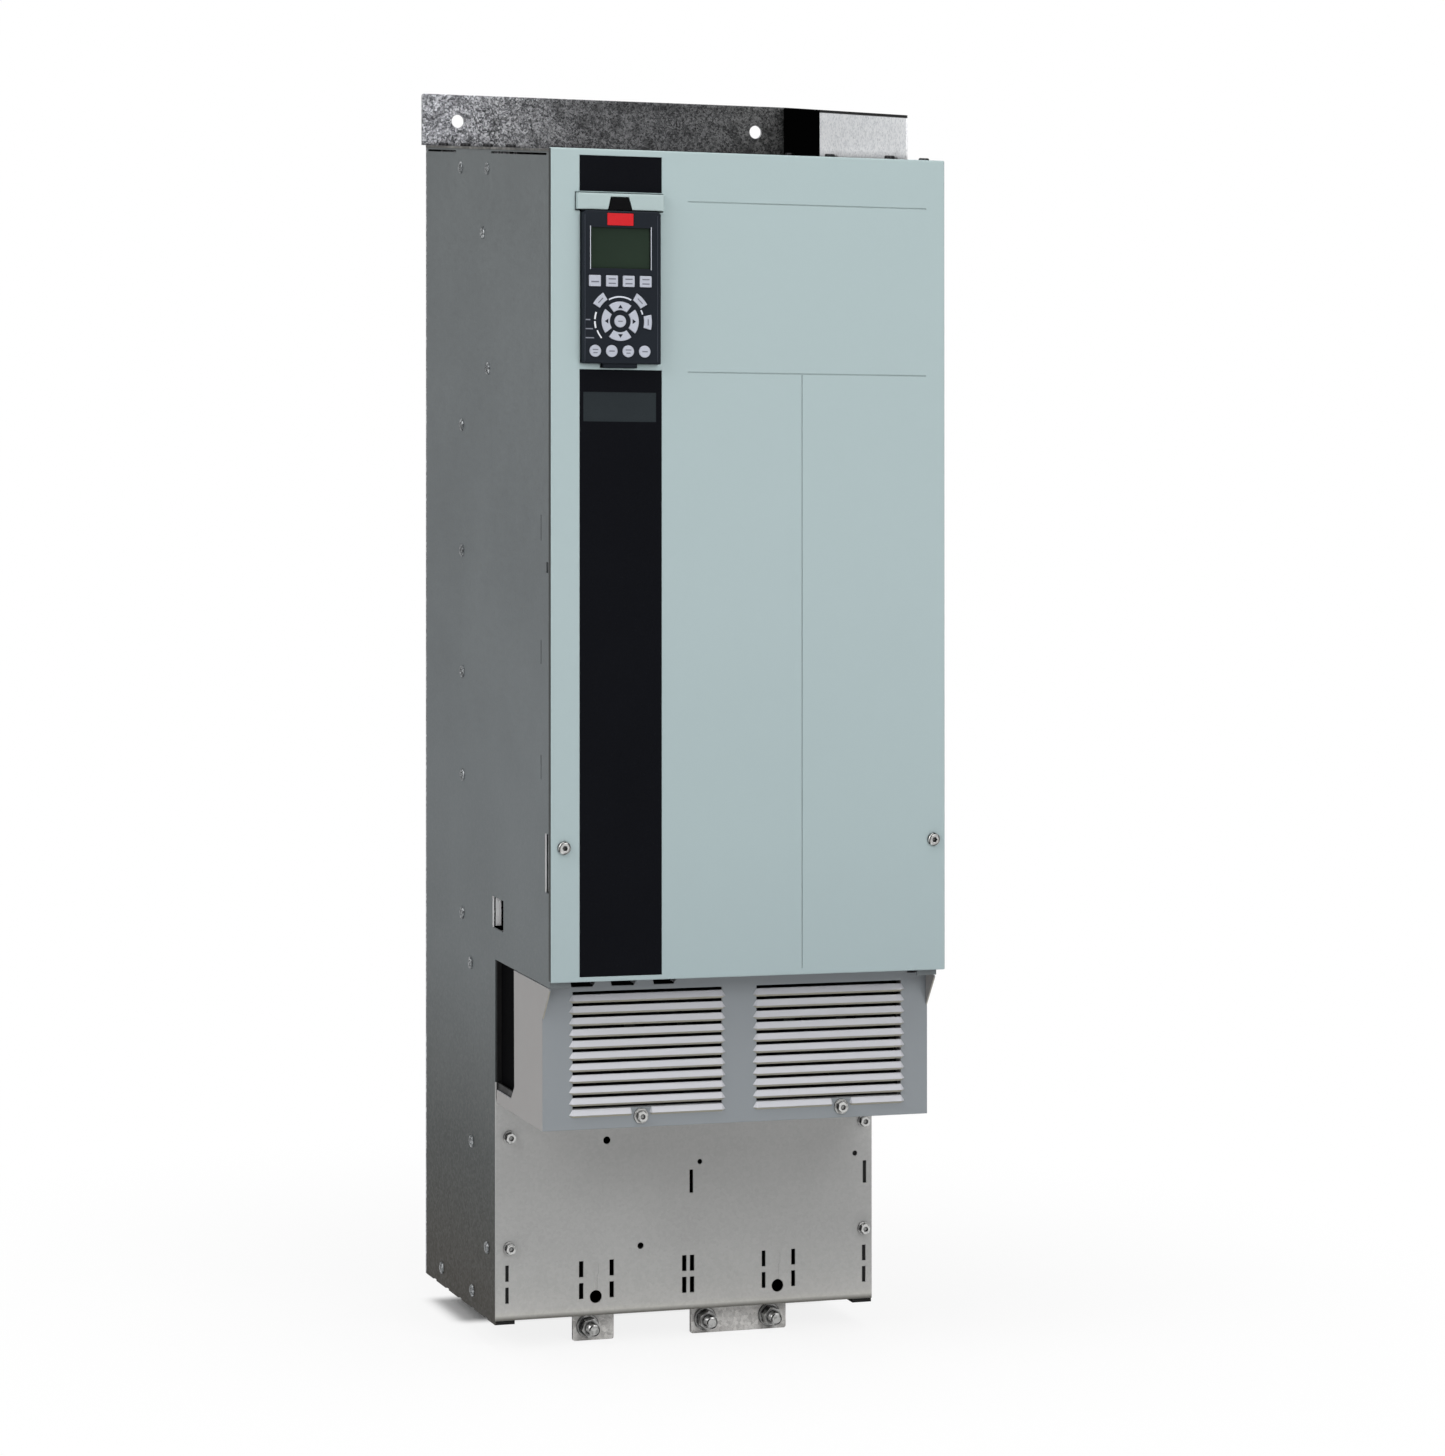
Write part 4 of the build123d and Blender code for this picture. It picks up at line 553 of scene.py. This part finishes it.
# Material -> cabinet pieces. Keys are key caps, and all other pieces inner sheet.
PIECES = {
    "side_panel_galvanised": "left_side_panel right_side_panel",
    "rear_panel_spangle": "rear_panel",
    "top_plate_galvanised": "top_plate",
    "top_flange_spangle": "right_top_flange",
    "lower_plate_galvanised": "lower_front_plate",
    "earth_bar_galvanised": "ground_bars",
    "zinc_plated_fasteners": "cover_brackets cover_screws louvre_screws chassis_screws "
                             "ground_studs ground_nuts",
    "cover_powder_coat": "front_cover",
    "keypad_cradle_powder_coat": "keypad_cradle",
    "terminal_cover_powder_coat": "louvre_cover",
    "black_grained_inlay": "black_inlays",
    "keypad_housing_plastic": "keypad_housing",
    "display_window": "display_glass",
    "latch_plastic": "keypad_latch",
    "matt_near_black_pad": "flange_seal",
    "blind_rivet_steel": "side_rivets",
    "terminal_bolts_in_painted_shade": "terminal_bolts",
    "extruded_aluminium": "heatsink capacitor_bank",
    "tinned_copper_bar": "ac_busbars dc_busbars",
    "green_circuit_board": "power_card control_card keypad_board",
    "varnished_core_and_coil": "dc_choke",
    "light_guide_plastic": "status_leds",
    "black_moulded_plastic": "heatsink_fan_frames heatsink_fan_rotor_left "
                             "heatsink_fan_rotor_right mixing_fan_frame mixing_fan_rotor "
                             "igbt_modules rectifier_modules terminal_block",
    "matt_black_barrier": "terminal_shield",
}
PIECE_MATERIAL = {piece: name for name, pieces in PIECES.items() for piece in pieces.split()}
for piece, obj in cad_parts.items():
    fallback = "key_cap_plastic" if piece.startswith("key_") else "inner_sheet_galvanised"
    obj.data.materials.clear()
    obj.data.materials.append(MATERIALS[PIECE_MATERIAL.get(piece, fallback)])


# ------------------------------------------------------------------ small details, drawing mm
def vertex(bm, x, y, z):
    return bm.verts.new((x / 1000.0, y / 1000.0 + DRAWING_Y, z / 1000.0))


def add_solid(name, bm, material, body):
    bmesh.ops.recalc_face_normals(bm, faces=bm.faces)
    mesh = bpy.data.meshes.new(name)
    bm.to_mesh(mesh)
    bm.free()
    obj = bpy.data.objects.new(name, mesh)
    scene.collection.objects.link(obj)
    mesh.materials.append(MATERIALS[material])
    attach(obj, body)


def loft(bm, rings):
    """Join closed rings one after another; the ends stay open."""
    for ring, following in zip(rings, rings[1:]):
        for i in range(len(ring)):
            j = (i + 1) % len(ring)
            bm.faces.new((ring[i], ring[j], following[j], following[i]))


def plates(name, outlines, material, body, y, thick, chamfer):
    """Thin plates raised forward from y; outlines are (x, z), counter-clockwise from the front."""
    bm = bmesh.new()
    for points in outlines:
        centre_x = sum(x for x, z in points) / len(points)
        centre_z = sum(z for x, z in points) / len(points)
        back = [vertex(bm, x, y, z) for x, z in points]
        middle = [vertex(bm, x, y - thick + chamfer, z) for x, z in points]
        front = []
        for x, z in points:
            reach = math.hypot(x - centre_x, z - centre_z)
            shrink = 1.0 - min(0.3, chamfer / reach)
            front.append(vertex(bm, centre_x + (x - centre_x) * shrink, y - thick,
                                centre_z + (z - centre_z) * shrink))
        for i in range(len(points)):
            j = (i + 1) % len(points)
            bm.faces.new((back[i], back[j], middle[j], middle[i]))
            bm.faces.new((middle[i], middle[j], front[j], front[i]))
        bm.faces.new(front)
        bm.faces.new(back[::-1])
    add_solid(name, bm, material, body)


def rect(x0, x1, z0, z1):
    return [(x0, z0), (x1, z0), (x1, z1), (x0, z1)]


def rounded_rect(x0, x1, z0, z1, radius, steps=4):
    inner = rect(x0 + radius, x1 - radius, z0 + radius, z1 - radius)
    points = []
    for (x, z), start in zip(inner[1:] + inner[:1], (-90, 0, 90, 180)):
        for i in range(steps + 1):
            angle = math.radians(start + 90.0 * i / steps)
            points.append((x + radius * math.cos(angle), z + radius * math.sin(angle)))
    return points


def turned(points, centre, degrees):
    c, s = math.cos(math.radians(degrees)), math.sin(math.radians(degrees))
    return [(centre[0] + x * c - z * s, centre[1] + x * s + z * c) for x, z in points]


FACE_Y = -353.0         # keypad front
KEY_Y = -354.1          # key cap fronts
LINE_THICK = 0.12
NAV_X, NAV_Z = -120.9, 897.3    # centre of the round key group


def arc_line(name, inner, outer, start, end, steps):
    """A curved strip about the centre of the round key group."""
    bm = bmesh.new()
    front = FACE_Y - LINE_THICK
    section = ((inner, FACE_Y), (outer, FACE_Y), (outer, front), (inner, front))
    rows = []
    for i in range(steps + 1):
        angle = math.radians(start + (end - start) * i / steps)
        c, s = math.cos(angle), math.sin(angle)
        rows.append([vertex(bm, NAV_X + r * c, y, NAV_Z + r * s) for r, y in section])
    loft(bm, rows)
    bm.faces.new(rows[0][::-1])
    bm.faces.new(rows[-1])
    add_solid(name, bm, "white_print_and_highlight", "keypad")


def nav_point(radius, degrees):
    angle = math.radians(degrees)
    return NAV_X + radius * math.cos(angle), NAV_Z + radius * math.sin(angle)


def key_mark(key, outlines):
    plates(key + "_mark", outlines, "key_legend_print", key, KEY_Y, thick=0.05, chamfer=0.01)


plates("badge_plate", [rounded_rect(-132.1, -108.9, 977.6, 987.8, radius=0.5)],
       "red_enamel_badge", "keypad", FACE_Y + 0.4, thick=0.65, chamfer=0.15)
# painted highlights: thin white strips stand for the lit chamfer walls at either side of the
# display
for side, left in (("left", -147.5), ("right", -93.3)):
    plates("display_%s_bar" % side, [rect(left, left + 0.55, 940.6, 976.8)],
           "white_print_and_highlight", "keypad", FACE_Y, thick=0.35, chamfer=0.1)
# painted highlights: thin lighter strips along the keypad housing's chamfer edges
for side, left in (("left", -152.2), ("right", -87.4)):
    plates("keypad_%s_rim_line" % side, [rect(left, left + 0.4, 863.5, 986.5)],
           "keypad_rim_highlight", "keypad", FACE_Y, LINE_THICK, chamfer=0.04)
arc_line("upper_arc_line", inner=19.8, outer=21.1, start=61.0, end=119.0, steps=28)
arc_line("right_arc_line", inner=20.4, outer=21.7, start=16.5, end=27.0, steps=10)

# Strokes beside the three status lights: right end x, bottom z
STATUS_STROKES = ((-147.4, 897.7), (-145.0, 890.1), (-144.0, 882.5))
plates("status_marks", [rect(-151.5, right, z, z + 1.0) for right, z in STATUS_STROKES],
       "faint_print", "keypad", FACE_Y, thick=0.06, chamfer=0.01)

# Level strokes on the keys: half width, bottom z, top z
MENU_ONE = [(3.4, 929.6, 930.7)]
MENU_TWO = [(3.2, 932.2, 933.2), (3.2, 928.5, 929.5)]
LOWER_ONE = [(2.4, 871.7, 872.7)]
LOWER_TWO = [(2.5, 872.9, 873.8), (1.9, 870.3, 871.1)]
for key, x, strokes in (    # key, centre x, strokes
    ("key_status", -143.4, MENU_ONE), ("key_quick_menu", -128.2, MENU_TWO),
    ("key_main_menu", -113.3, MENU_TWO), ("key_alarm_log", -98.1, MENU_TWO),
    ("key_hand_on", -143.1, LOWER_TWO), ("key_off", -128.4, LOWER_ONE),
    ("key_auto_on", -113.7, LOWER_TWO), ("key_reset", -99.0, LOWER_ONE),
    ("key_ok", NAV_X, [(2.0, NAV_Z - 0.5, NAV_Z + 0.5)]),
):
    key_mark(key, [rect(x - half, x + half, z0, z1) for half, z0, z1 in strokes])

# Strokes on the keys around the ring: angle, radius, half length, tilt
for key, angle, radius, half, tilt in (
    ("key_back", 135.7, 24.6, 3.0, 135.7 - 90),
    ("key_cancel", 44.2, 24.6, 3.0, 44.2 - 90),
    ("key_info", -1.0, 24.8, 2.6, 90),
):
    key_mark(key, [turned(rect(-half, half, -0.5, 0.5), nav_point(radius, angle), tilt)])

POINTER = [(1.9, 0.0), (-1.2, 2.15), (-1.2, -2.15)]     # triangle pointing to +x
for key, angle in (("key_right", 0), ("key_up", 90), ("key_left", 180), ("key_down", 270)):
    plates(key + "_pointer", [turned(POINTER, nav_point(12.0, angle), angle)],
           "dark_print", key, KEY_Y, thick=0.06, chamfer=0.01)

# Earth stud threads
STUD_XS = (-88.3, 21.5, 82.4)
STUD_Z = 12.6
THREAD_REAR_Y, THREAD_TIP_Y = -191.05, -199.3
THREAD_RADIUS = 5.45
THREAD_PITCH = 1.25
GROOVE_DEPTH = 0.42
TIP_INSET, TIP_LENGTH = 1.6, 0.5        # cone at the tip


def thread(name, centre_x, segments=40):
    """Closed rings of V grooves around a stud's tip."""
    root = THREAD_RADIUS - GROOVE_DEPTH
    y = THREAD_TIP_Y + TIP_LENGTH
    profile = [(THREAD_RADIUS - TIP_INSET, THREAD_TIP_Y), (root, y)]
    while y < THREAD_REAR_Y - THREAD_PITCH:
        profile += [(THREAD_RADIUS, y + THREAD_PITCH * 0.45), (root, y + THREAD_PITCH * 0.98)]
        y += THREAD_PITCH
    profile.append((THREAD_RADIUS, THREAD_REAR_Y))
    bm = bmesh.new()
    angles = [2 * math.pi * i / segments for i in range(segments)]
    rings = [[vertex(bm, centre_x + r * math.cos(a), ring_y, STUD_Z + r * math.sin(a))
              for a in angles] for r, ring_y in profile]
    loft(bm, rings)
    bm.faces.new(rings[0])
    bm.faces.new(rings[-1][::-1])
    add_solid(name, bm, "zinc_plated_fasteners", "chassis")


for number, stud_x in enumerate(STUD_XS, 1):
    thread("earth_stud_thread_%d" % number, stud_x)


# ------------------------------------------------------------------ floor
def floor_material():
    """Pale floor that melts into the white backdrop away from the cabinet."""
    m = Mat("pale_floor")
    m.colour = m.mix(m.noise(scale=0.8, detail=3), (0.90,) * 3, (0.94,) * 3)
    m.finish(rough=0.9, specular=0.0)
    distance = m.node("VectorMath")
    distance.operation = "LENGTH"
    m.feed(distance.inputs[0], m.coords)
    white = m.node("Emission", Color=(1, 1, 1))
    # the strip under the cabinet's rear half does not glow
    under = m.within(x=(-0.176, 0.172), y=(0.085, 0.172), soft=0.012)
    far = m.step(distance.outputs["Value"], lo=0.28, hi=0.9)
    glow = m.calc("MULTIPLY_ADD", far, 0.14, 0.86)      # 0.86 near, 1 far
    glow = m.mul(glow, m.inverse(under))
    seen = m.node("LightPath").outputs["Is Camera Ray"]
    blend = m.node("MixShader")
    for i, value in enumerate((m.mul(glow, seen), m.bsdf.outputs[0], white.outputs[0])):
        m.feed(blend.inputs[i], value)
    m.feed(m.nodes["Material Output"].inputs["Surface"], blend.outputs[0])
    return m.material


FLOOR_HALF = 30.0
mesh = bpy.data.meshes.new("floor")
mesh.from_pydata([(x, z, 0) for x, z in rect(-FLOOR_HALF, FLOOR_HALF, -FLOOR_HALF, FLOOR_HALF)],
                 [], [(0, 1, 2, 3)])
floor = bpy.data.objects.new("floor", mesh)
floor.location = (0, 0, -0.0005)
scene.collection.objects.link(floor)
mesh.materials.append(floor_material())


# ------------------------------------------------------------------ world and lights
WORLD_STRENGTH = 0.48
SKY_LOW, SKY_HIGH = 0.55, 0.95      # greys that light the scene, below and above


def studio_world():
    """A grey sky gradient for lighting; the camera itself sees pure white."""
    world = bpy.data.worlds.new("studio")
    scene.world = world
    world.use_nodes = True
    nodes, links = world.node_tree.nodes, world.node_tree.links
    coords = nodes.new("ShaderNodeTexCoord")
    split = nodes.new("ShaderNodeSeparateXYZ")
    links.new(coords.outputs["Generated"], split.inputs[0])
    sky = nodes.new("ShaderNodeValToRGB")
    for element, grey in zip(sky.color_ramp.elements, (SKY_LOW, SKY_HIGH)):
        element.color = (grey, grey, grey, 1)
    links.new(split.outputs[2], sky.inputs["Fac"])
    light_path = nodes.new("ShaderNodeLightPath")
    mix = nodes.new("ShaderNodeMix")
    mix.data_type = "RGBA"
    links.new(light_path.outputs["Is Camera Ray"], mix.inputs["Factor"])
    links.new(sky.outputs["Color"], mix.inputs[6])
    mix.inputs[7].default_value = (*(1.0 / WORLD_STRENGTH,) * 3, 1)
    background = nodes["Background"]
    links.new(mix.outputs[2], background.inputs["Color"])
    background.inputs["Strength"].default_value = WORLD_STRENGTH


def area_light(name, location, target_z, size, energy):
    """A square light aimed at a point on the z axis."""
    light = bpy.data.lights.new(name, "AREA")
    light.energy = energy
    light.shape = "RECTANGLE"
    light.size = light.size_y = size
    obj = bpy.data.objects.new(name, light)
    obj.location = location
    aim = Vector((0, 0, target_z)) - Vector(location)
    obj.rotation_euler = aim.to_track_quat("-Z", "Y").to_euler()
    scene.collection.objects.link(obj)


studio_world()
area_light("key", (0.9, -3.2, 2.4), target_z=0.55, size=1.8, energy=52)
area_light("left_fill", (-2.7, -0.9, 2.2), target_z=0.7, size=1.6, energy=46)
area_light("top_soft", (0.0, -0.6, 3.2), target_z=0.8, size=2.0, energy=32)

scene.view_settings.view_transform = "Standard"
scene.view_settings.look = "None"

# ------------------------------------------------------------------ camera
# The view is sheared: verticals stay upright while horizontals lean. A camera can't hold a shear
# itself, so its stand's parent inverse carries it. Rows are x, y, z; columns the camera's axes.
AXES = ((0.9276221005176116, -0.001949087105195962, -0.3608806319497048),
        (-0.37198739594173535, -0.005512993654650434, -0.9249502865694544),
        (0.033802601849274645, 0.9999829038340706, 0.11929851993493405))
EYE = (-1.4716474724398754, -4.051119233553811 + DRAWING_Y, 1.032196521013726)

lens = bpy.data.cameras.new("camera")
camera = bpy.data.objects.new("camera", lens)
stand = bpy.data.objects.new("camera_stand", None)
for obj in (stand, camera):
    scene.collection.objects.link(obj)
camera.parent = stand
camera.matrix_parent_inverse = Matrix([(*AXES[i], EYE[i]) for i in range(3)] + [(0, 0, 0, 1)])
lens.sensor_width = 36.0
lens.lens = 116.9249374557
lens.clip_start, lens.clip_end = 0.05, 60.0
scene.camera = camera
